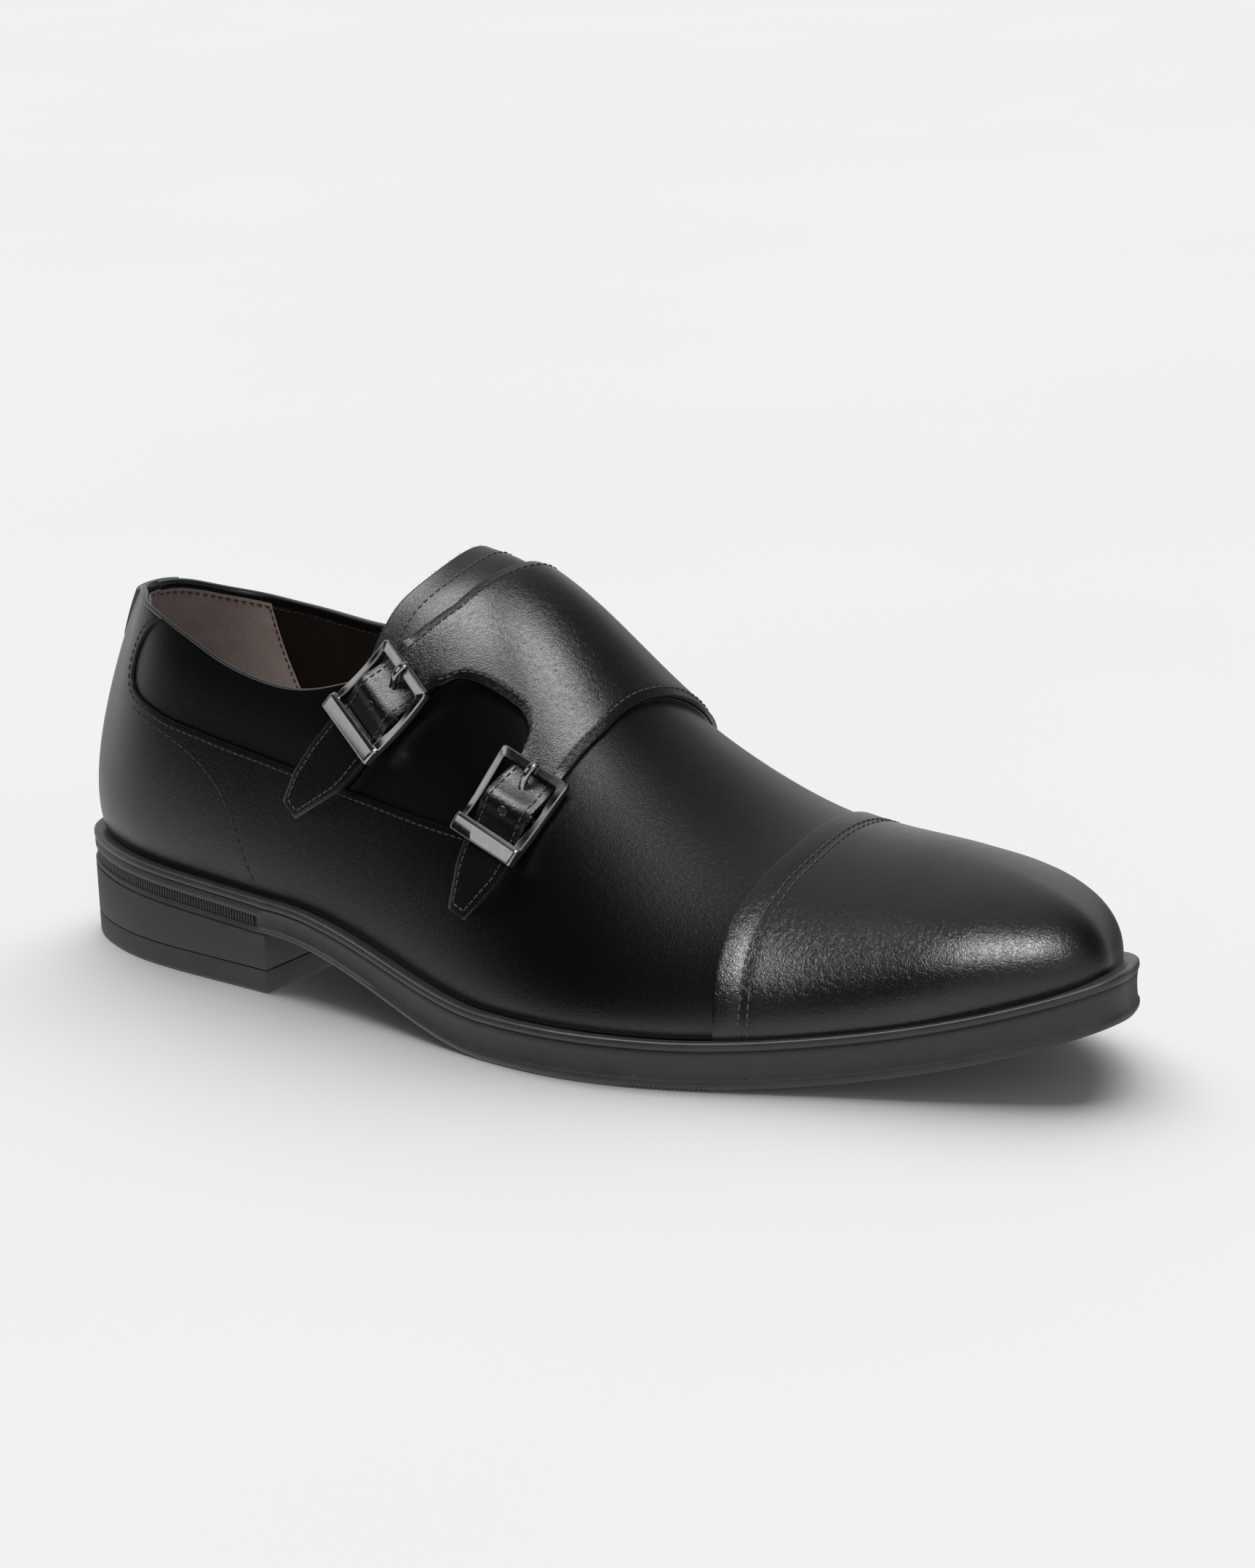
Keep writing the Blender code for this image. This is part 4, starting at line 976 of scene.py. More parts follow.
def strap_section(strap, heel_side, toe_side, girth):
    """x and girth of points straight across a strap, one row for each girth."""
    x, turn, _ = strap_frames(strap, girth)
    girth = np.atleast_1d(girth)
    left = np.interp(girth, *np.array(heel_side).T)
    right = np.interp(girth, *np.array(toe_side).T)
    share = np.linspace(0, 1, STRAP_COLUMNS + 1)
    across = -left[:, None] + (left + right)[:, None] * share
    return x[:, None] + across * turn[:, :1], girth[:, None] + across * turn[:, 1:]


def strap_grid(strap, heel_side, toe_side, centre_bar, seed):
    """Points of a strap's upper face from its root to its tip: it humps over the buckle's
    middle bar, its edges turn down a little, and it creases where it bends."""
    per_girth = strap_frames(strap, centre_bar)[2][0]
    start, end = strap[0][0], strap[-1][0]
    count = int((start - end) * per_girth / STRAP_STEP)
    girth = np.linspace(start, end, count + 1)
    x, distance = strap_section(strap, heel_side, toe_side, girth)
    length = ((centre_bar - girth) * per_girth)[:, None]
    side = np.linspace(-1, 1, STRAP_COLUMNS + 1)[None, :]
    hump = STRAP_RISE * np.exp(-(length / HUMP_LENGTH) ** 2)
    draw = np.random.default_rng(seed)
    crease = np.zeros_like(x)
    for place in CREASE_PLACES:
        way, middle = draw.uniform(-0.6, 0.6), draw.uniform(-0.3, 0.3)
        near = (length - place - way * side) / CREASE_WIDTH
        crease -= CREASE * np.exp(-near ** 2) * np.exp(-((side - middle) / 0.8) ** 2)
    settled = 1 - ease(girth, start - 1, start)[:, None]
    down = -EDGE_DOWN * np.abs(side) ** 5 * settled
    lift = FLAP_TOP + (hump + crease + down) * settled
    points, _ = by_girth(x, distance, lift)
    return points


def flap_level(girth):
    """Height of the upper face between the quarter and the straps."""
    return QUARTER_LIFT + (FLAP_TOP - QUARTER_LIFT) * ease(-girth, *FLAP_RISES)


rear_edge, front_edge = (
    np.column_stack([item[0] for item in strap_section(strap, heel, toe, strap[0][0])])
    for strap, heel, toe, _ in STRAPS)
cut_out = smooth_curve(np.vstack([rear_edge[-1:], CUT_OUT, front_edge[:1]]), CUT_OUT_COLUMNS + 1)
lower_edge = np.vstack([rear_edge, cut_out[1:-1], front_edge])
rear_share, front_share = STRAP_SHARES
flap_share = np.concatenate([
    np.linspace(0, rear_share, STRAP_COLUMNS + 1),
    np.linspace(rear_share, front_share, CUT_OUT_COLUMNS + 1)[1:-1],
    np.linspace(front_share, 1, STRAP_COLUMNS + 1)])
slit_x, slit_girth = SLIT_POINT
corner_x, corner_girth = FLAP_CORNER
join_row = np.column_stack([
    slit_x + (corner_x - slit_x) * flap_share,
    slit_girth + (corner_girth - slit_girth) * flap_share])
flap_girths = np.linspace(35.5, -20, 42)
flap_edges = natural_spline(FLAP, flap_girths)
crown_rows = [
    np.column_stack([top + (front - top) * flap_share, np.full(len(flap_share), girth)])
    for girth, (top, front) in zip(flap_girths, flap_edges)]
lead_rows = [join_row + (crown_rows[0] - join_row) * share for share in (0.25, 0.5, 0.75)]
last_row = crown_rows[-1]
edge_rows = [
    last_row + (lower_edge - last_row) * share for share in np.linspace(0, 1, 16)[1:]]
flap_places = np.array([join_row] + lead_rows + crown_rows + edge_rows)
flap_lift = flap_level(flap_places[..., 1])
flap_points, flap_normals = by_girth(flap_places[..., 0], flap_places[..., 1], flap_lift)
# the leather is pulled down towards its stitched edges, but not where the straps go on
from_top = across_lengths(flap_points)
from_front = across_lengths(flap_points[:, ::-1])[:, ::-1]
from_cut_out = across_lengths(flap_points[::-1].transpose(1, 0, 2)).T[::-1]
columns = np.arange(flap_points.shape[1])
beside_straps = np.minimum(columns, columns[::-1])
over_straps = 1 - ease(beside_straps, STRAP_COLUMNS - 3, STRAP_COLUMNS)
from_cut_out += 9.0 * over_straps
from_edge = np.minimum(np.minimum(from_top, from_front), from_cut_out)
pulled = EDGE_PULL * (1 - ease(from_edge, 0.2, EDGE_ROUND)) * ease(-flap_places[..., 1], -36, -30)
last_rows = ease(np.arange(len(flap_points))[:, None], len(flap_points) - 4, len(flap_points) - 1)
pulled *= 1 - last_rows * over_straps
flap_points = flap_points - flap_normals * pulled[..., None]
rear_points, front_points = (strap_grid(*strap, seed) for strap, seed in zip(STRAPS, (3, 5)))
rear_points[0] = flap_points[-1, :STRAP_COLUMNS + 1]
front_points[0] = flap_points[-1, -STRAP_COLUMNS - 1:]

quarter_top_x = np.concatenate([
    stations(HEEL_BACK, HEEL_CURVE_END, 56), np.arange(61.4, SLIT_START, 1.4),
    np.linspace(SLIT_START, slit_x, 20)[:-1], join_row[:, 0]])
inner_height = natural_spline(INNER_TOPLINE, np.minimum(quarter_top_x, SLIT_START))[:, 0]
inner_girth = np.where(
    quarter_top_x < slit_x,
    natural_spline(SLIT_BACK_EDGE, np.clip(quarter_top_x, SLIT_START, slit_x))[:, 0],
    slit_girth + (corner_girth - slit_girth) * (quarter_top_x - slit_x) / (corner_x - slit_x))
quarter_v = np.where(
    quarter_top_x <= SLIT_START, v_at_height(quarter_top_x, MEDIAL, inner_height),
    v_at_girth(quarter_top_x, inner_girth))
quarter_share = np.linspace(1, 0, QUARTER_COLUMNS + 1)
lean_back = FRONT_SLANT * np.clip((quarter_top_x - slit_x) / (corner_x - slit_x), 0, 1)
quarter_x = quarter_top_x[:, None] - lean_back[:, None] * (1 - quarter_share)
quarter_lift = QUARTER_LIFT * ease(quarter_top_x, QUARTER_RISES, slit_x)[:, None]
quarter_points, _ = on_last(quarter_x, MEDIAL, quarter_v[:, None] * quarter_share, quarter_lift)
quarter_points[-len(join_row):, 0] = flap_points[0]
flap_leather = make_leather("flap_leather", grain=1.1, gloss=0.08)
set_leather("monk_flap", [flap_points, rear_points, front_points, quarter_points], flap_leather,
            "monk_flap", FLAP_LEATHER, ["monk_flap"], round_edge=0.38)

# ---- lining of the flap and straps -----------------------------------------------------------
# A second, thinner sheet of calf, stitched under the flap and both straps. A fine groove
# between the two cut edges shows all round.
FLAP_LINING = 0.80
LINING_START = 6         # rows of the flap's grid that it leaves free beside the quarter
LINING_GAP = FLAP_LEATHER + 0.32
under_sheets = [
    sheet - grid_normals(sheet) * LINING_GAP
    for sheet in (flap_points[LINING_START:], rear_points, front_points)]
under_sheets[1][0] = under_sheets[0][-1, :STRAP_COLUMNS + 1]
under_sheets[2][0] = under_sheets[0][-1, -STRAP_COLUMNS - 1:]
set_leather("flap_lining", under_sheets, flap_leather, "monk_flap", FLAP_LINING, round_edge=0.34)

# ---- tongue ----------------------------------------------------------------------------------
# A lined tongue, cut raw at the top so that its fibres stand out along the edge, with one row
# of stitching inside it. Its sides slip in under the collar piece and the inner quarter.
TONGUE_THICKNESS = 2.3
TONGUE_HIDDEN, TONGUE_COLUMNS = 158.0, 33        # it runs on to there under the flap
TONGUE_EDGE = (     # distance from the ridge, x of the upper edge
    (-54, 105.5), (-46, 106.2), (-40, 107.3), (-33.3, 108.7), (-28.2, 109.9), (-23, 112.0),
    (-17.7, 115.1), (-11.3, 118.6), (-5.4, 120.8), (0, 121.9), (6, 122.4), (12, 122.0),
    (18, 120.6), (24, 118.0), (30, 114.4), (36, 110.8), (44, 107.5), (52, 106.0),
)
TONGUE_STITCH = 6.0      # from the raw edge
TONGUE_LIFT = 0.35
UNDER_COLLAR, UNDER_QUARTER = 2.7, 2.2   # how far its sides go in under the other pieces
RAW_EDGE_DROP = 0.5      # its raw edge lies this much lower
tongue_girths = np.concatenate([np.linspace(-54, -30, 20)[:-1], np.linspace(-30, 30, 50),
                                np.linspace(30, 52, 18)[1:]])
tongue_edge = natural_spline(TONGUE_EDGE, tongue_girths)[:, 0]
tongue_share = np.linspace(0, 1, TONGUE_COLUMNS + 1) ** 1.15
tongue_x = tongue_edge[:, None] + (TONGUE_HIDDEN - tongue_edge)[:, None] * tongue_share
tongue_g = np.broadcast_to(tongue_girths[:, None], tongue_x.shape)
collar_edge = natural_spline(
    OUTER_TOP_FRONT, np.clip(tongue_x, STRAP_COVERS, COLLAR_FRONT).ravel())[:, 0]
below_collar = -tongue_g + collar_edge.reshape(tongue_x.shape)
inwards = ease(below_collar, -4, 2) * UNDER_COLLAR + ease(tongue_g, 22, 34) * UNDER_QUARTER
from_raw_edge = tongue_x - tongue_edge[:, None]
tongue_lift = TONGUE_LIFT - inwards - RAW_EDGE_DROP * (1 - ease(from_raw_edge, 0, 9))
tongue_points, _ = by_girth(tongue_x, tongue_g, tongue_lift)
tongue_leather = make_leather("tongue_leather", grain=0.9)
set_leather("tongue", [tongue_points], tongue_leather, "upper", TONGUE_THICKNESS, round_edge=0.45)


def columns_at_depth(points, depth):
    """Fractional columns that lie at one depth from a grid's first column, row by row."""
    return np.array([np.interp(depth, row, np.arange(len(row))) for row in across_lengths(points)])


stitch_at = columns_at_depth(tongue_points, TONGUE_STITCH)
tongue_rows = np.linspace(8, len(tongue_girths) - 9, 300)
stitch_columns = np.interp(tongue_rows, np.arange(len(stitch_at)), stitch_at)
set_stitching(
    "tongue_stitching",
    [stitch_row(*on_grid(tongue_points, tongue_rows, stitch_columns), pitch=2.0, length=1.55)],
    highlit_black_thread, "upper")

# ---- fibres of the tongue's edge -------------------------------------------------------------
# Short loose fibres of the split leather, dark grey-brown, which stand out from the raw edge
# of the tongue where it was cut.
FIBRES = 520
FIBRE_THICK = 0.045
FIBRE_LENGTHS = (0.5, 1.5)
fibre_draw = np.random.default_rng(11)
fibre_points, fibre_faces = [], []
raw_rows = fibre_draw.uniform(6, len(tongue_girths) - 7, FIBRES)
raw_edge, raw_normals = on_grid(tongue_points, raw_rows, np.zeros(FIBRES))
raw_inside, _ = on_grid(tongue_points, raw_rows, np.full(FIBRES, 1.0))
for base, normal, inside in zip(raw_edge, raw_normals, raw_inside):
    out = unit(base - inside)
    base = base - normal * fibre_draw.uniform(0.3, TONGUE_THICKNESS - 0.2) - out * 0.2
    way = unit(out + fibre_draw.normal(0, 0.55, 3))
    bend = fibre_draw.normal(0, 0.25, 3)
    length = fibre_draw.uniform(*FIBRE_LENGTHS)
    beside = unit(np.cross(way, normal + 0.01)) * FIBRE_THICK
    above = unit(np.cross(beside, way)) * FIBRE_THICK
    stem = [base, base + way * length * 0.5 + bend * 0.2, base + way * length + bend * 0.6]
    first = len(fibre_points) * 7
    sides = (beside, above, -beside - above)
    rows = [stem[k] + side * (1 - 0.35 * k) for k in (0, 1) for side in sides]
    fibre_points.append(np.vstack(rows + [stem[2]]))
    for k in range(3):
        after = (k + 1) % 3
        fibre_faces.append([first + k, first + after, first + 3 + after, first + 3 + k])
        fibre_faces.append([first + 3 + k, first + 3 + after, first + 6])
    fibre_faces.append([first + 2, first + 1, first])
fibre_colour = make_thread("raw_fibres", (0.03, 0.027, 0.025), (0.07, 0.062, 0.056))
set_down("tongue_fibres", np.vstack(fibre_points), fibre_faces, fibre_colour, "upper", sharp=80)

# ---- gusset ----------------------------------------------------------------------------------
# The slit between flap and inner quarter is closed by black elastic, folded twice and sewn in
# along both edges. On the flap's side a folded strip of leather binds it.
SLIT_FLAP_EDGE = ((131.4, 20.4), (140.2, 29.6), (150.0, 38.0))
SLIT_ROWS = 46
BINDING_WIDTH = 0.42     # of the slit's width, on the flap's side
ELASTIC_RIBS, RIB_HEIGHT = 9, 0.05
FOLDS = ((0.22, 0.07), (0.47, 0.06))     # place and half width, as shares of the slit's width
FOLD_HEIGHT = 0.95
ELASTIC_THICKNESS, BINDING_THICKNESS = 0.7, 0.8

slit_share = np.linspace(0, 1, SLIT_ROWS)
slit_back_x = SLIT_START + (slit_x - SLIT_START) * slit_share
slit_flap_x = SLIT_FLAP_EDGE[0][0] + (slit_x - SLIT_FLAP_EDGE[0][0]) * slit_share
back_edge = np.column_stack([slit_back_x, natural_spline(SLIT_BACK_EDGE, slit_back_x)])
flap_edge = np.column_stack([slit_flap_x, natural_spline(SLIT_FLAP_EDGE, slit_flap_x)])


def across_slit(share, lift):
    """Points between the slit's two edges at shares of its width."""
    places = back_edge[:, None] + (flap_edge - back_edge)[:, None] * share[None, :, None]
    return by_girth(places[..., 0], places[..., 1], lift)[0]


gusset_share = np.linspace(-0.18, 1 - BINDING_WIDTH + 0.06, 64)
slit_width = np.linalg.norm(flap_edge - back_edge, axis=1)[:, None]
folds = sum(np.exp(-((gusset_share - place) / wide) ** 2) for place, wide in FOLDS)
ribs = RIB_HEIGHT * np.cos(2 * np.pi * gusset_share * ELASTIC_RIBS * 2)
gusset_lift = -0.25 + (FOLD_HEIGHT * folds + ribs)[None, :] * np.minimum(slit_width / 8, 1.0)
black_elastic = make_thread("black_elastic", (0.006, 0.006, 0.007), (0.022, 0.022, 0.024),
                            scale=3000.0, relief=(0.7, 0.00009), roughness=0.8, sheen=0.25)
set_leather("gusset", [across_slit(gusset_share, gusset_lift)], black_elastic, "monk_flap",
            ELASTIC_THICKNESS, round_edge=0.2)
binding_share = np.linspace(1 - BINDING_WIDTH, 1.03, 14)
crown = np.sin(np.pi * np.clip((binding_share - binding_share[0]) / 0.5, 0, 1)) ** 0.6
towards_flap = 0.35 + 0.65 * ease(binding_share, 0.58, 1.0)
binding_lift = 0.55 + (flap_level(flap_edge[:, 1])[:, None] - 0.9) * towards_flap + 0.2 * crown
set_leather("gusset_binding", [across_slit(binding_share, binding_lift)], flap_leather,
            "monk_flap", BINDING_THICKNESS)

# ---- topline, lining and heel grip -----------------------------------------------------------
# The topline is folded over and stitched. Inside it a soft suede grip lines the heel, sewn with
# a curved seam to the dark brown calf that lines the rest.
EDGE_RADIUS = 1.15
FOLD_INSET = 0.12        # the folded edge lies this much inside the leather's outer face
FOLD_OUTSIDE, FOLD_INSIDE = (-4.2, -2.6, -1.4), (-1.6, -2.8, -4.4)   # heights of its flat rows
FOLD_CENTRE = -0.75      # height of the centre of its round edge
TO_COLLAR = 0.62         # how much deeper it lies on the collar piece
LINING_DEPTH = 2.35      # below the skin of the last
LINING_FRONT = 206.0
GRIP_DEPTH, GRIP_FRONT, GRIP_TOP_END = 2.9, 58.0, 44.0
GRIP_TRIM = 0.046        # share of the profile taken off its height, under the topline
TOPLINE_STITCH = 2.3
LINING_FOOT, LINING_ROWS = 0.05, 44      # it starts at this share of the profile
LINING_SHORT = 0.012     # and ends this much below the topline
OUTER_CLOSES, INNER_CLOSES = (113, 136), (124, 140)      # ahead of these it covers the instep
GRIP_END = (     # z, x
    (10, 58.0), (25, 52.0), (45, 45.5), (57, 42.2), (66, 39.0), (76, 36.8), (86, 35.8), (95, 36.0),
)
round_heel = stations(HEEL_BACK, HEEL_CURVE_END, 50)
edge_lateral_x = np.concatenate([round_heel, np.arange(61.2, 107, 1.2)])
edge_medial_x = np.concatenate([round_heel[1:], np.arange(61.2, 124.5, 1.2)])
topline_v = np.concatenate([
    v_at_height(
        edge_lateral_x, LATERAL, natural_spline(OUTER_TOPLINE, edge_lateral_x)[:, 0])[::-1],
    v_at_height(edge_medial_x, MEDIAL, natural_spline(INNER_TOPLINE, edge_medial_x)[:, 0])])
edge_x = np.concatenate([edge_lateral_x[::-1], edge_medial_x])
edge_side = np.repeat([LATERAL, MEDIAL], [len(edge_lateral_x), len(edge_medial_x)])
# the fold follows the outer side, goes down to the collar piece, and follows the inner quarter
outer_lift = np.where(
    edge_side == LATERAL, -0.05 - TO_COLLAR * ease(edge_x, 30, 36),
    QUARTER_LIFT * ease(edge_x, QUARTER_RISES, slit_x) - 0.1)
edge_top, edge_out = on_last(edge_x, edge_side, topline_v)
edge_below, _ = on_last(edge_x, edge_side, topline_v - 0.03)
edge_up = unit(edge_top - edge_below)
# rows of the fold, from outside over the edge to the inside: height and lift
outer_level = outer_lift - FOLD_INSET
inner_level = np.full(len(edge_x), -LINING_DEPTH + 0.1)
half_thick = (outer_level - inner_level) / 2
fold_rows = [(height, outer_level) for height in FOLD_OUTSIDE]
fold_rows += [
    (FOLD_CENTRE + np.sin(angle) * EDGE_RADIUS, inner_level + half_thick * (1 + np.cos(angle)))
    for angle in np.radians(np.arange(0, 181, 22.5))]
fold_rows += [(height, inner_level) for height in FOLD_INSIDE]
fold = np.stack([
    edge_top + edge_up * height + edge_out * lift[:, None] for height, lift in fold_rows])
set_down("topline_fold", *join_sheets(fold.transpose(1, 0, 2)), collar_leather, "upper")


def make_suede(name, dark, light):
    """Soft nap: fine cloudy fibres brushed this way and that."""
    material, tree, shader, where = new_finish(name)
    brushed = add_node(tree, "TexNoise", Vector=where, Scale=120.0, Detail=6.0, Roughness=0.7)
    nap = add_node(tree, "TexNoise", Vector=where, Scale=3300.0, Detail=3.0, Roughness=0.7)
    both = add_node(tree, "MixRGB", Fac=0.45, Color1=brushed.outputs["Color"],
                    Color2=nap.outputs["Color"])
    colour = add_ramp(tree, both.outputs["Color"], 0.36, 0.64, dark, light)
    fill(tree, shader, Base_Color=colour, Normal=add_bump(tree, nap.outputs["Fac"], 0.8, 0.00012),
         Roughness=0.95, Specular_IOR_Level=0.2, Sheen_Weight=0.35, Sheen_Roughness=0.5)
    return material


grip_suede = make_suede("grip_suede", (0.190, 0.142, 0.126), (0.315, 0.242, 0.218))
lining_leather = make_leather(
    "lining_leather", grain=0.35, gloss=-0.12, tint=(0.034, 0.024, 0.019))
lining_rows = np.linspace(0.0, 1.0, LINING_ROWS)


def lining_sheet(x, side, high, depth):
    """A sheet of lining from the insole up to just under the topline."""
    v = LINING_FOOT + (high[:, None] - LINING_FOOT) * lining_rows
    return on_last(x[:, None], side[:, None], v, -depth)[0]


def topline_at(x, side):
    """How far up their profiles the lining reaches; ahead of the opening, to the ridge."""
    lateral = v_at_height(
        x, LATERAL, natural_spline(OUTER_TOPLINE, np.clip(x, 0, STRAP_COVERS))[:, 0])
    medial = v_at_height(
        x, MEDIAL, natural_spline(INNER_TOPLINE, np.clip(x, 0, SLIT_START))[:, 0])
    open_v = np.where(side == LATERAL, lateral, medial)
    closing = np.where(side == LATERAL, ease(x, *OUTER_CLOSES), ease(x, *INNER_CLOSES))
    return (open_v - LINING_SHORT) * (1 - closing) + closing


def both_sides(half):
    """Places from the front of the outer side round the heel to the front of the inner side."""
    side = np.repeat([LATERAL, MEDIAL], [len(half), len(half) - 1])
    return np.concatenate([half[::-1], half[1:]]), side


lining_x, lining_side = both_sides(np.concatenate([
    stations(HEEL_BACK, HEEL_CURVE_END, 44), np.linspace(HEEL_CURVE_END, LINING_FRONT, 96)[1:]]))
lining_high = topline_at(lining_x, lining_side)
lining_points = lining_sheet(lining_x, lining_side, lining_high, LINING_DEPTH)
set_down("lining", *join_sheets(lining_points), lining_leather, "upper")
grip_x, grip_side = both_sides(stations(HEEL_BACK, GRIP_FRONT, 56))
grip_high = topline_at(grip_x, grip_side)
flat_grip = lining_sheet(grip_x, grip_side, grip_high, GRIP_DEPTH)
grip_limit = natural_spline(GRIP_END, np.clip(flat_grip[..., 2], 10, 95).ravel())[:, 0]
grip_limit = grip_limit.reshape(flat_grip.shape[:2])
grip_reach = np.maximum(grip_limit - HEEL_BACK, 1.0) / (GRIP_FRONT - HEEL_BACK)
grip_real_x = HEEL_BACK + (grip_x[:, None] - HEEL_BACK) * grip_reach
grip_high = topline_at(grip_real_x.ravel(), np.repeat(grip_side, grip_real_x.shape[1]))
grip_v = LINING_FOOT + (grip_high.reshape(grip_real_x.shape) - GRIP_TRIM) * lining_rows
grip_points, _ = on_last(grip_real_x, grip_side[:, None], grip_v, -GRIP_DEPTH)
set_down("heel_grip", *join_sheets(grip_points), grip_suede, "upper")
grip_rows = []
for row in (1.0, len(grip_points) - 2.0):
    seam_points, seam_normals = on_grid(grip_points, np.full(200, row), np.linspace(2, 42, 200))
    grip_rows.append(stitch_row(seam_points, -seam_normals, pitch=2.0, length=1.3, thread=0.2))
# and one row under the topline, on the grip and then on the lining
edge_row_depth = np.where(edge_x < GRIP_TOP_END, GRIP_DEPTH, LINING_DEPTH)
edge_row = edge_top - edge_up * TOPLINE_STITCH - edge_out * edge_row_depth[:, None]
grip_rows.append(stitch_row(edge_row, -edge_out, pitch=2.1, length=1.5, thread=0.19))
set_stitching("lining_stitching", grip_rows, highlit_black_thread, "upper")

# ---- insole and sock -------------------------------------------------------------------------
# The board that the upper is lasted over, covered by a thin padded sock of brown calf, which
# is glued down and rounded at its edge.
SOCK_SIDE = (     # inset from the outline, height above the welt
    (6.6, -2.0), (6.2, 0.2), (6.2, 2.0), (6.6, 2.6), (7.6, 2.95), (9.5, 3.1),
)
sock_leather = make_leather("sock_leather", grain=0.4, gloss=-0.1, tint=(0.036, 0.020, 0.013))
sock_rings = []
for inset, rise in SOCK_SIDE:
    sock_rings.append(outline_ring(inset + toe_inset, feather(plan_x) + rise))
set_down("insole_sock", *round_body(sock_rings), sock_leather, "insole", ["insole"], sharp=50)

# ---- stitching of the flap and straps --------------------------------------------------------
# One row of small stitches runs a couple of millimetres inside every edge of the flap, the
# slit and the straps, and ends in tacks where the flap's front edge meets the vamp.
def row_at_depth(points, from_start, depth, first, last, count):
    """Fractional rows and columns of a line that keeps its depth from a grid's side edge."""
    column = columns_at_depth(points if from_start else points[:, ::-1], depth)
    column = column if from_start else points.shape[1] - 1 - column
    rows = np.linspace(first, last, count)
    return rows, np.interp(rows, np.arange(len(column)), column)


def row_below_edge(points, depth, first, last, count):
    """The same for a line that keeps its depth from a grid's last row."""
    return row_at_depth(points.transpose(1, 0, 2), False, depth, first, last, count)[::-1]


# the same black thread with the same finish, darker: without the painted highlight of the thread
# used elsewhere
plain_black_thread = make_thread("plain_black_thread", (0.006, 0.006, 0.008), (0.026, 0.026, 0.031))
# how far the rows of stitches lie inside the edges
FLAP_STITCH, SLIT_STITCH, CUT_OUT_STITCH, STRAP_STITCH = 2.3, 1.6, 2.2, 1.7
TIP_STITCH = 1.9         # rows of its grid from a strap's tip
QUARTER_STITCH, QUARTER_SLIT_STITCH = 2.4, 1.7
end_row = len(flap_points) - 1
flap_lines = [
    # front edge, from the tacks over the ridge to the front strap
    row_at_depth(flap_points, False, FLAP_STITCH, 2.0, end_row, 400),
    # upper edge, from the slit over the ridge to the rear strap
    row_at_depth(flap_points, True, FLAP_STITCH, 16.0, end_row, 400),
    # slit, on the flap's side
    row_at_depth(flap_points, True, SLIT_STITCH, 0.6, 15.4, 200),
    # cut-out between the straps
    row_below_edge(flap_points, CUT_OUT_STITCH, STRAP_COLUMNS - 0.2,
                   STRAP_COLUMNS + CUT_OUT_COLUMNS + 0.2, 300),
]
flap_stitches = [stitch_row(*on_grid(flap_points, *line)) for line in flap_lines]
# both long edges of each strap and its cut tip, where the rows meet
for points in (rear_points, front_points):
    tip_row = len(points) - 1 - TIP_STITCH
    edge_lines = [
        row_at_depth(points, from_start, STRAP_STITCH, 0.0, tip_row, 300)
        for from_start in (True, False)]
    flap_stitches += [
        stitch_row(*on_grid(points, *line), pitch=2.0, length=1.6, thread=0.23)
        for line in edge_lines]
    left, right = (columns[-1] for _, columns in edge_lines)
    tip = on_grid(points, np.full(40, tip_row), np.linspace(left, right, 40))
    flap_stitches.append(stitch_row(*tip, pitch=1.9, length=1.5, thread=0.23))
# quarter: its topline, the slit's lower side and the front edge down to the welt
topline_end = int(np.argmax(quarter_top_x > SLIT_START)) - 1
slit_end = len(quarter_points) - len(join_row)
quarter_lines = [
    row_at_depth(quarter_points, True, QUARTER_STITCH, 1.0, topline_end - 1.0, 500),
    row_at_depth(
        quarter_points, True, QUARTER_SLIT_STITCH, topline_end + 1.0, slit_end - 0.2, 300),
    row_below_edge(quarter_points, FLAP_STITCH, 3.0, QUARTER_COLUMNS - 1.5, 300),
]
flap_stitches += [stitch_row(*on_grid(quarter_points, *line)) for line in quarter_lines]
# tacks at the flap's lower front corner: x, distance from the ridge along each line of thread
TACKS = (
    ((168.8, 40.2), (165.0, 42.4), (160.6, 42.0)), ((160.6, 42.0), (159.4, 44.0)),
    ((168.6, 43.6), (166.9, 44.6), (165.3, 45.6)), ((170.2, 41.0), (168.4, 44.2)),
    ((169.6, 44.8), (167.6, 47.4)), ((169.4, 47.6), (167.2, 50.0)),
)
for tack in TACKS:
    places = smooth_curve(tack, 40) if len(tack) > 2 else np.linspace(*np.array(tack), 40)
    path = by_girth(places[:, 0], places[:, 1], flap_level(places[:, 1]))
    flap_stitches.append(stitch_row(*path, pitch=1.5, length=1.5, thread=0.27, slant=18))
set_stitching("flap_stitching", flap_stitches, plain_black_thread, "monk_flap")

# ---- stitching of the sides ------------------------------------------------------------------
# Waxed black thread in two rows of machine stitches: one holds the outer side down along its
# seam, the other marks the edge of the heel counter.
SEAM_STITCH = 1.5
COUNTER_ROW = (     # x, z
    (30.5, 66.6), (37, 64.6), (45, 61.8), (53, 58.2), (59.5, 53.8), (64, 49.0), (67, 43.5),
    (69.6, 37.0), (72.0, 31.0), (75.2, 25.6),
)


def on_side(line):
    """Points and normals on the outer side along a line told as x and z."""
    return on_last(line[:, 0], LATERAL, v_at_height(line[:, 0], LATERAL, line[:, 1]), 0.0)


seam_line = np.vstack([curl[4:-1], seam[:-4]])
seam_way = unit(np.gradient(seam_line, axis=0))
seam_line += SEAM_STITCH * np.column_stack([seam_way[:, 1], -seam_way[:, 0]])
side_lines = [
    stitch_row(*on_side(smooth_curve(seam_line[::3], 500)), thread=0.22),
    stitch_row(*on_side(smooth_curve(COUNTER_ROW, 300)), pitch=2.5, length=2.0, thread=0.2),
]
set_stitching("side_stitching", side_lines, highlit_black_thread, "upper")

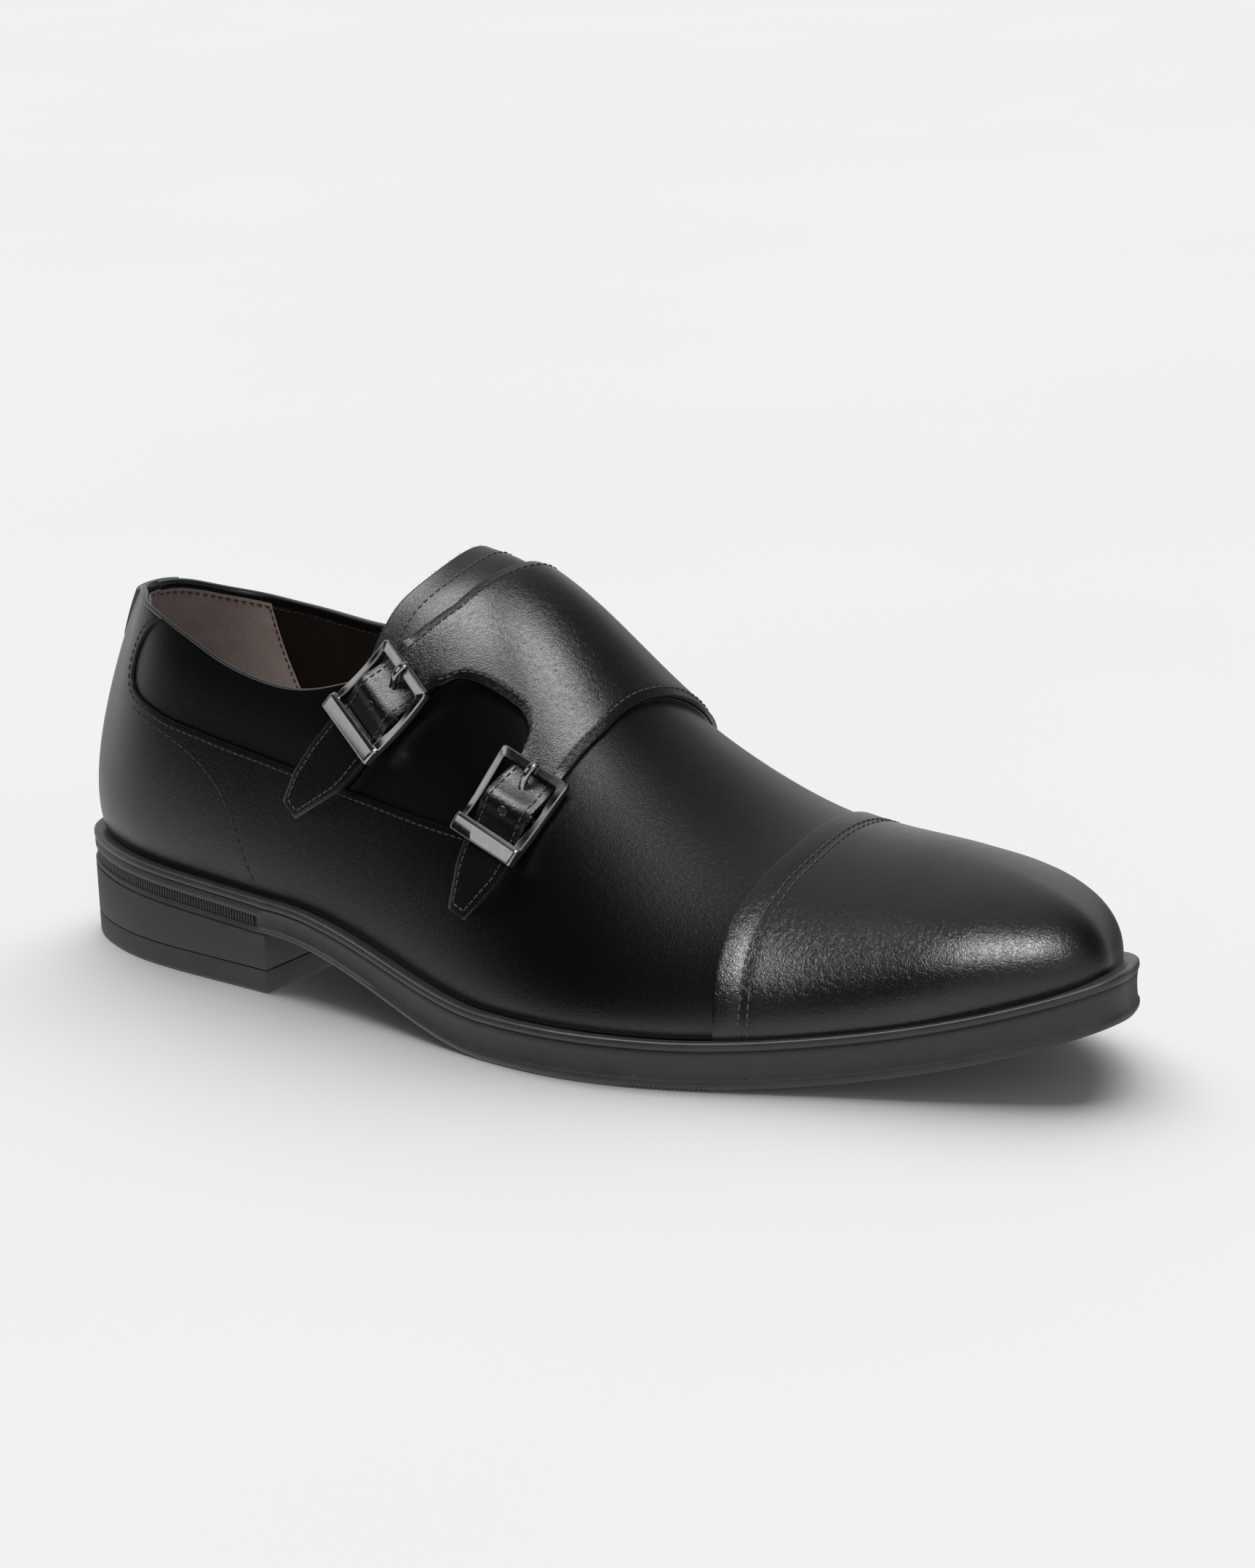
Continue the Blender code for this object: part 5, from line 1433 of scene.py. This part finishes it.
# ---- back tab --------------------------------------------------------------------------------
# A narrow tab of calf sewn over the seam at the back of the heel. It hangs down from the
# topline and ends in a round tip.
TAB_LOW, TAB_HIGH = 77.0, 92.0
TAB_HALF_TOP, TAB_HALF_LOW, TAB_LIFT, TAB_LEATHER = 9.0, 6.5, 0.75, 0.9
TAB_TIP, TAB_TIP_ROUND = 0.16, 0.22      # as shares of its height
TAB_COLUMNS, TAB_ROWS = 16, 20
tab_share = np.linspace(0, 1, TAB_ROWS + 1)
tab_z = TAB_LOW + (TAB_HIGH - TAB_LOW) * tab_share
tab_across = np.linspace(-1, 1, TAB_COLUMNS + 1)
tab_half = TAB_HALF_LOW + (TAB_HALF_TOP - TAB_HALF_LOW) * tab_share
to_tip = ((TAB_TIP - tab_share) / TAB_TIP_ROUND).clip(0)
tab_half = tab_half * np.sqrt(np.clip(1 - to_tip ** 2, 0.12, 1))
tab_grid = np.empty((TAB_ROWS + 1, TAB_COLUMNS + 1, 3))
back_x = HEEL_BACK + np.linspace(0, 12, 120) ** 2 / 12
for way in (LATERAL, MEDIAL):
    chosen = np.flatnonzero(tab_across <= 0 if way == LATERAL else tab_across > 0)
    for row, (z, half) in enumerate(zip(tab_z, tab_half)):
        line, _ = on_last(back_x, way, v_at_height(back_x, way, z), TAB_LIFT)
        length = run_length(line)
        tab_grid[row, chosen] = read_along(np.abs(tab_across[chosen]) * half, length, line)
# its top edge follows the topline on each side
for j, share in enumerate(tab_across):
    reach = np.interp(abs(share) * tab_half[-1], length, back_x)
    topline = OUTER_TOPLINE if share <= 0 else INNER_TOPLINE
    top = natural_spline(topline, [reach])[0, 0] - 0.1
    tab_grid[:, j] = read_along(TAB_LOW + (top - TAB_LOW) * tab_share, tab_z, tab_grid[:, j])
set_leather("back_tab", [tab_grid], flap_leather, "upper", TAB_LEATHER, round_edge=0.25)

# ---- buckles ---------------------------------------------------------------------------------
# Two polished gunmetal buckles. Each is a cast frame with bevelled bars; a wide bar clamped
# over its lower end holds the strap's tail down, and the strap humps over a bar in the middle.
GAP = 0.3
BUCKLE_WIDTH, BUCKLE_LENGTH = 20.0, 24.2
SIDE_BAR, FAR_BAR, NEAR_BAR = 2.1, 2.7, 4.9
MIDDLE_BAR, MIDDLE_BAR_THICK, MIDDLE_BAR_LEVEL = 1.8, 1.2, 1.3
FRAME_LOW = FLAP_TOP + 2 * GAP
FRAME_HIGH = FRAME_LOW + 2.0
SIDE_LOW, SIDE_HIGH = 1.4, 3.5
HALF, OUTER = BUCKLE_LENGTH / 2, BUCKLE_WIDTH / 2
CORNER_OUT, CORNER_IN = 1.3, 0.7
CORNER_STEPS, BAR_STEPS = 6, 16
# section of a bar: share of its width from outside in, share of its height, bevel widths in mm
FRAME_SECTION = (
    (0.0, 0.0, 0.15, 0.0), (0.0, 0.0, 0.0, 0.2), (0.0, 1.0, 0.0, -0.55), (0.0, 1.0, 0.16, -0.2),
    (0.0, 1.0, 0.5, 0.0), (1.0, 1.0, -0.62, 0.0), (1.0, 1.0, -0.2, -0.22), (1.0, 1.0, 0.0, -0.7),
    (1.0, 0.0, 0.0, 0.2), (1.0, 0.0, -0.15, 0.0),
)


def buckle_places(strap, centre_bar):
    """A reader of points from (across, along, level) in millimetres: seen from above the
    frame is straight and square, and its rows lie on the strap as the last turns below it."""
    per_girth = strap_frames(strap, centre_bar)[2][0]
    along = np.linspace(-HALF - 2, HALF + 2, 61)
    girth = centre_bar - along / per_girth
    x, turn, _ = strap_frames(strap, girth)
    middles, _ = by_girth(x, girth)
    besides = by_girth(x + turn[:, 0], girth + turn[:, 1])[0] - middles
    centre = read_along(0, along, middles)
    across_way = unit(read_along(0, along, besides))
    along_way = read_along(HALF, along, middles) - read_along(-HALF, along, middles)
    along_way = unit(along_way - across_way * (along_way @ across_way))

    def read(a, b, height):
        a, b, height = (np.asarray(item, float) for item in np.broadcast_arrays(a, b, height))
        point, beside = read_along(b, along, middles), read_along(b, along, besides)
        point = point - across_way * ((point - centre) @ across_way)[..., None]
        beside = unit(beside - along_way * (beside @ along_way)[..., None])
        rise = unit(np.cross(beside, along_way))
        rise = rise * np.sign((rise * [0, -1, 1]).sum(axis=-1))[..., None]
        return point + beside * a[..., None] + rise * height[..., None]
    return read


def rounded_loop(half_width, far, near, radius):
    """A rectangle with rounded corners, counter-clockwise: across and along of its points."""
    right, low, high = half_width - radius, far + radius, near - radius
    corners = (
        (right, low, -np.pi / 2), (right, high, 0),
        (-right, high, np.pi / 2), (-right, low, np.pi))
    loop = []
    for number, (a, b, start) in enumerate(corners):
        angles = start + np.pi / 2 * np.arange(CORNER_STEPS + 1) / CORNER_STEPS
        loop += [(a + radius * np.cos(t), b + radius * np.sin(t)) for t in angles]
        a, b, start = corners[(number + 1) % 4]
        here = np.array(loop[-1])
        ahead = np.array([a + radius * np.cos(start), b + radius * np.sin(start)])
        loop += [here + (ahead - here) * (k / BAR_STEPS) for k in range(1, BAR_STEPS)]
    return np.array(loop)


def frame_heights(along):
    """Under- and upper side of the frame: it bows down between its end bars."""
    share = (np.abs(along) / HALF) ** 2
    return SIDE_LOW + (FRAME_LOW - SIDE_LOW) * share, SIDE_HIGH + (FRAME_HIGH - SIDE_HIGH) * share


def make_gunmetal(name):
    """Dark nickel, polished, with a faint cloud of handling marks."""
    material, tree, shader, where = new_finish(name)
    marks = add_noise(tree, where, 600.0, 5.0, Roughness=0.7)
    scratch = add_noise(tree, where, 2200.0, 2.0, Distortion=2.5)
    colour = add_ramp(tree, marks, 0.3, 0.7, (0.27, 0.27, 0.275), (0.36, 0.36, 0.365))
    dull = add_node(tree, "MapRange", Value=marks, To_Min=0.10, To_Max=0.26)
    fill(tree, shader, Base_Color=colour, Roughness=dull.outputs["Result"], Metallic=1.0,
         Normal=add_bump(tree, scratch, 0.12, 0.00002))
    return material


def closed_tube(rings):
    """Points and faces of a tube through rings, with a flat face at each end."""
    size = len(rings[0])
    faces = grid_faces(len(rings), size, round_columns=True).tolist()
    faces += [list(range(size))[::-1], [(len(rings) - 1) * size + k for k in range(size)]]
    return np.vstack(rings), faces


# the clamped bar: profile along the strap, from its inner to its outer edge, and heights
CLAMP_SECTION = (
    (0.0, -1.4), (0.0, 0.25), (0.12, 0.45), (1.0, 1.0), (1.3, 1.06), (4.3, 1.06), (4.7, 0.86),
    (4.9, 0.4), (4.9, -1.0), (4.6, -1.5), (0.2, -1.5),
)
CLAMP_OVER = 0.25        # it stands this far outside the frame
CLAMP_ENDS = ((0.0, 0.72), (0.22, 0.3), (0.6, 0.0))      # place from its end, depth of the chamfer
CLAMP_DROP = 0.55        # its section's zero lies this far below the frame's upper side


def make_clamp(read):
    """The wide bar over the frame's lower end, its ends chamfered."""
    rings = []
    half = OUTER + CLAMP_OVER
    profile, rises = np.array(CLAMP_SECTION).T
    places = [(-half + inset, shrink) for inset, shrink in CLAMP_ENDS]
    places += [(a, 0.0) for a in np.linspace(-half + 1, half - 1, 15)]
    places += [(half - inset, shrink) for inset, shrink in CLAMP_ENDS[::-1]]
    for across, shrink in places:
        along = HALF + 0.1 - NEAR_BAR + profile
        middle = HALF - NEAR_BAR / 2
        along = middle + (along - middle) * (1 - 0.12 * shrink)
        height = FRAME_HIGH - CLAMP_DROP + rises
        height = np.where(height > FRAME_HIGH - 0.3, height - 0.5 * shrink, height)
        rings.append(read(across, along, height))
    return closed_tube(rings)


def make_tube(centres, rises, across, half_width, thickness, sides=10):
    """A rounded bar along centres: half width across and thickness along its rise."""
    angles = 2 * np.pi * np.arange(sides) / sides
    rounded = [np.sign(f(angles)) * np.abs(f(angles)) ** 0.7 for f in (np.cos, np.sin)]
    return closed_tube([
        c + across * (w * rounded[0])[:, None] + r * (t / 2 * rounded[1])[:, None]
        for c, r, w, t in zip(centres, rises, half_width, thickness)])


# the prong: along the strap, height of its middle, thickness, half width
PRONG = (
    (-3.4, 2.5, 1.1, 0.80), (-4.8, 2.9, 1.2, 0.85), (-6.0, 3.6, 1.3, 0.9), (-7.2, 4.7, 1.3, 0.92),
    (-8.2, 5.6, 1.25, 0.95), (-9.2, 6.15, 1.15, 0.98), (-10.3, 6.35, 1.1, 1.0),
    (-11.4, 6.25, 1.05, 0.98), (-12.2, 5.85, 0.95, 0.92), (-12.75, 5.2, 0.8, 0.8),
)
for name, (strap, _, _, centre_bar) in zip(("rear", "front"), STRAPS):
    read = buckle_places(strap, centre_bar)
    gunmetal = make_gunmetal(name + "_gunmetal")
    outer_loop = rounded_loop(OUTER, -HALF, HALF, CORNER_OUT)
    inner_loop = rounded_loop(OUTER - SIDE_BAR, -HALF + FAR_BAR, HALF - NEAR_BAR + 1.0, CORNER_IN)
    width = np.linalg.norm(inner_loop - outer_loop, axis=1)
    low_side, high_side = frame_heights(outer_loop[:, 1])
    rings = []
    for share, high, in_mm, up_mm in FRAME_SECTION:
        place = outer_loop + (inner_loop - outer_loop) * (share + in_mm / width)[:, None]
        height = low_side + (high_side - low_side) * high + up_mm
        rings.append(read(place[:, 0], place[:, 1], height))
    frame_faces = grid_faces(len(rings), len(outer_loop), round_rows=True, round_columns=True)
    set_down(name + "_buckle_frame", np.vstack(rings), frame_faces, gunmetal, name + "_buckle",
             [name + "_buckle"], sharp=25)
    set_down(name + "_buckle_clamp", *make_clamp(read), gunmetal, name + "_buckle", sharp=25)
    bar_across = np.linspace(-OUTER + 1, OUTER - 1, 20)
    bar_centres = read(bar_across, 0.0, MIDDLE_BAR_LEVEL)
    bar_rises = unit(read(bar_across, 0.0, MIDDLE_BAR_LEVEL + 1.0) - bar_centres)
    along_unit = unit(read(0.0, 1.0, 0.0) - read(0.0, -1.0, 0.0))
    middle_bar = make_tube(
        bar_centres, bar_rises, along_unit, np.full(20, MIDDLE_BAR / 2),
        np.full(20, MIDDLE_BAR_THICK))
    set_down(name + "_middle_bar", *middle_bar, gunmetal, name + "_buckle", sharp=60)
    prong = smooth_curve(PRONG, 34)
    centres = read(0.0, prong[:, 0], prong[:, 1])
    ahead = unit(np.gradient(centres, axis=0))
    across_unit = unit(read(1.0, -9.0, 5.0) - read(-1.0, -9.0, 5.0))
    rises = unit(np.cross(across_unit, ahead))
    prong_bar = make_tube(centres, rises, across_unit, prong[:, 3], prong[:, 2])
    set_down(name + "_prong_bar", *prong_bar, gunmetal, name + "_prong", [name + "_prong"],
             sharp=70)

# ---- strap holes -----------------------------------------------------------------------------
# Each strap has a spare hole below the one that the prong stands in, punched through, its round
# edge pressed up a little. Each hole is closed by a near-black disc, which is painted shade.
SPARE_HOLE, PRONG_HOLE = 1.9, -5.6       # along the strap from the middle bar
HOLE_RIM = ((1.45, -0.10), (1.25, 0.10), (1.02, 0.20), (0.84, 0.15), (0.74, 0.04))
HOLE_TURN = 2 * np.pi * np.arange(28) / 28
# near-black discs laid over the holes: painted shade standing for the dark inside of each hole
hole_shade_paint = make_rubber("hole_shadow", (0.002, 0.002, 0.002), (0.004, 0.004, 0.004), 0.8)
rim_points, rim_faces, hole_points, hole_faces = [], [], [], []
for points, (strap, _, _, centre_bar) in zip((rear_points, front_points), STRAPS):
    per_girth = strap_frames(strap, centre_bar)[2][0]
    for along in (SPARE_HOLE, PRONG_HOLE):
        girth = centre_bar - along / per_girth
        row = (strap[0][0] - girth) / (strap[0][0] - strap[-1][0]) * (len(points) - 1)
        spots, ups = on_grid(points, np.array([row, row + 0.5]), np.full(2, STRAP_COLUMNS / 2))
        up, ahead = ups[0], unit(spots[1] - spots[0])
        beside = np.cross(up, ahead)
        turn = np.cos(HOLE_TURN)[:, None] * ahead + np.sin(HOLE_TURN)[:, None] * beside
        rings = [spots[0] + turn * radius + up * height for radius, height in HOLE_RIM]
        size = len(HOLE_TURN)
        rim_faces.append(grid_faces(len(rings), size, round_columns=True) + size * len(rim_points))
        rim_points += rings
        hole_faces.append([k + size * len(hole_points) for k in range(size)])
        hole_points.append(rings[-1])
set_down("strap_hole_rims", np.vstack(rim_points), np.vstack(rim_faces), flap_leather, "monk_flap",
         sharp=80)
set_down("strap_hole_shade", np.vstack(hole_points), hole_faces, hole_shade_paint, "monk_flap")

# ---- floor, lights and camera ----------------------------------------------------------------
# A pale floor, a sky that is dark where the black leather mirrors it, a broad light from above
# and softboxes that each fall on some pieces only, and a long lens on the outer front quarter.
FLOOR_REACH = 9.0
floor_mesh = bpy.data.meshes.new("floor")
floor_form = bmesh.new()
bmesh.ops.create_grid(floor_form, x_segments=8, y_segments=8, size=FLOOR_REACH)
floor_form.to_mesh(floor_mesh)
floor_form.free()
floor = bpy.data.objects.new("floor", floor_mesh)
floor.location.z = -0.00005
bpy.context.scene.collection.objects.link(floor)
floor_paint, floor_tree, floor_shader, floor_where = new_finish("floor_paint")
floor_colour = add_ramp(floor_tree, add_noise(floor_tree, floor_where, 3.0, 2.0), 0.2, 0.8,
                        (0.80, 0.80, 0.805), (0.83, 0.83, 0.83))
fill(floor_tree, floor_shader, Base_Color=floor_colour, Roughness=0.75, Specular_IOR_Level=0.2)
floor_mesh.materials.append(floor_paint)
floor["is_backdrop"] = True
floor.visible_glossy = False

# directions of the sky: its darker parts, and the light that the ground throws back
DARK_CORNER = (-0.45, -0.79, 0.42)
DARK_TOP = (0.62, 0.30, 0.72)
DARK_BEHIND = (-0.085, 0.974, -0.21)
GROUND = (0.17, 0.0, -0.985)
GROUND_LIGHT = (0.97, 0.96, 0.93, 1.0)
SKY_STRENGTH = 1.1
world = bpy.data.worlds.new("studio")
world.use_nodes = True
sky = world.node_tree
sky_way = add_node(sky, "TexCoord").outputs["Generated"]


def sky_patch(direction, low, high, far, near):
    """A part of the sky round a direction: its light far from it and near to it."""
    closeness = add_node(sky, "VectorMath", operation="DOT_PRODUCT", Vector=sky_way)
    closeness.inputs[1].default_value = direction
    return add_ramp(sky, closeness.outputs["Value"], low, high, far, near)


corner_light = sky_patch(DARK_CORNER, 0.56, 0.82, (0.60, 0.60, 0.61), (0.008, 0.008, 0.008))
top_light = sky_patch(DARK_TOP, 0.55, 0.95, (1.0, 1.0, 1.0), (0.12, 0.12, 0.12))
sky_above = add_node(sky, "MixRGB", blend_type="MULTIPLY", Fac=1.0,
                     Color1=corner_light, Color2=top_light)
ground_share = sky_patch(GROUND, 0.14, 0.33, (0, 0, 0), (1, 1, 1))
sky_light = add_node(sky, "MixRGB", blend_type="MIX", Fac=ground_share,
                     Color1=sky_above.outputs["Color"], Color2=GROUND_LIGHT)
behind_light = sky_patch(DARK_BEHIND, 0.89, 0.985, (1, 1, 1), (0.15, 0.15, 0.15))
all_light = add_node(sky, "MixRGB", blend_type="MULTIPLY", Fac=1.0,
                     Color1=sky_light.outputs["Color"], Color2=behind_light)
fill(sky, sky.nodes["Background"], Color=all_light.outputs["Color"], Strength=SKY_STRENGTH)
bpy.context.scene.world = world
bpy.context.scene.view_settings.view_transform = "Standard"


def set_lamp(name, light, place, width_way=(1, 0, 0)):
    """Hangs a lamp that faces the shoe, its width along width_way."""
    lamp = bpy.data.objects.new(name, light)
    lamp.location = place
    away = Vector(place).normalized()
    tall = away.cross(Vector(width_way)).normalized()
    lamp.rotation_mode = "QUATERNION"
    lamp.rotation_quaternion = Matrix((tall.cross(away), tall, away)).transposed().to_quaternion()
    bpy.context.scene.collection.objects.link(lamp)
    return lamp


def add_softbox(name, place, width_way, size, power, lit):
    """A soft rectangular light that only falls on some pieces."""
    light = bpy.data.lights.new(name, "AREA")
    light.shape = "RECTANGLE"
    light.size, light.size_y = size
    light.energy = power
    lamp = set_lamp(name, light, place, width_way)
    chosen = bpy.data.collections.new(name + "_falls_on")
    for piece in lit:
        chosen.objects.link(piece)
    lamp.light_linking.receiver_collection = chosen


shoe_pieces = [item for item in bpy.context.scene.objects if item.type == "MESH" and item != floor]
cap_pieces = [item for item in shoe_pieces if item.name.startswith(("toe_cap", "cap_stitching"))]
crown_pieces = [
    item for item in shoe_pieces if item.name.startswith((
        "monk_flap", "flap_", "tongue", "gusset", "strap_", "outsole", "welt", "heel_"))]
buckle_pieces = [
    item for item in shoe_pieces if item.name.endswith(("_frame", "_clamp", "_bar"))]
side_pieces = [item for item in shoe_pieces if item not in cap_pieces + crown_pieces]
# place, direction of the width, width and height in metres, watts, and what it falls on
add_softbox("flap_light", (-0.33, -0.46, 0.87), (0.48, 0.12, 0.1), (0.48, 0.34), 5.6, crown_pieces)
add_softbox("ridge_light", (0.27, -0.25, 0.91), (0.48, 0.34, -0.1), (0.58, 0.3), 5.3, crown_pieces)
add_softbox("toe_light", (0.27, -0.60, 0.76), (1.0, 0.5, 0.0), (0.20, 0.44), 6.8, cap_pieces)
add_softbox("cap_light", (-0.40, -0.42, 0.82), (0.8, -0.6, 0.0), (0.20, 0.24), 0.8, cap_pieces)
add_softbox("top_light", (0.37, -0.29, 0.87), (1.0, 0.0, -0.3), (0.22, 0.24), 1.3, side_pieces)
add_softbox("buckle_light", (-0.44, -0.74, 0.52), (0.8, -0.5, 0), (0.55, 0.50), 0.9, buckle_pieces)
add_softbox("bevel_light", (0.45, -0.35, 0.80), (1.0, 0.3, 0.0), (0.20, 0.26), 3.4, buckle_pieces)

CEILING_STRENGTH, CEILING_SPREAD = 2.62, 70
ceiling = bpy.data.lights.new("ceiling", "SUN")
ceiling.energy = CEILING_STRENGTH
ceiling.angle = np.radians(CEILING_SPREAD)
ceiling_lamp = set_lamp("ceiling", ceiling, (-0.25, 0.35, 1.0))
ceiling_lamp.visible_glossy = False

CAMERA_PLACE = (0.66262, -0.89114, 0.37087)
CAMERA_TARGET = (0.0119, 0.0050, 0.0560)
CAMERA_ROLL = -2.40
CAMERA_LENS, CAMERA_SENSOR = 108.0, 36.0
camera_data = bpy.data.cameras.new("camera")
camera_data.lens = CAMERA_LENS
camera_data.sensor_width = CAMERA_SENSOR
camera_data.clip_start, camera_data.clip_end = 0.05, 40
camera = bpy.data.objects.new("camera", camera_data)
camera.location = CAMERA_PLACE
away = (Vector(CAMERA_PLACE) - Vector(CAMERA_TARGET)).normalized()
right = Vector((0, 0, 1)).cross(away).normalized()
up = away.cross(right)
turn = np.radians(CAMERA_ROLL)
view_right = right * np.cos(turn) + up * np.sin(turn)
view_up = up * np.cos(turn) - right * np.sin(turn)
camera.rotation_mode = "QUATERNION"
camera.rotation_quaternion = Matrix((view_right, view_up, away)).transposed().to_quaternion()
bpy.context.scene.collection.objects.link(camera)
bpy.context.scene.camera = camera

sizes = {
    name: [list(corner) for corner in box]
    for name, box in (("cad", cad_box), ("visual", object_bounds()))}
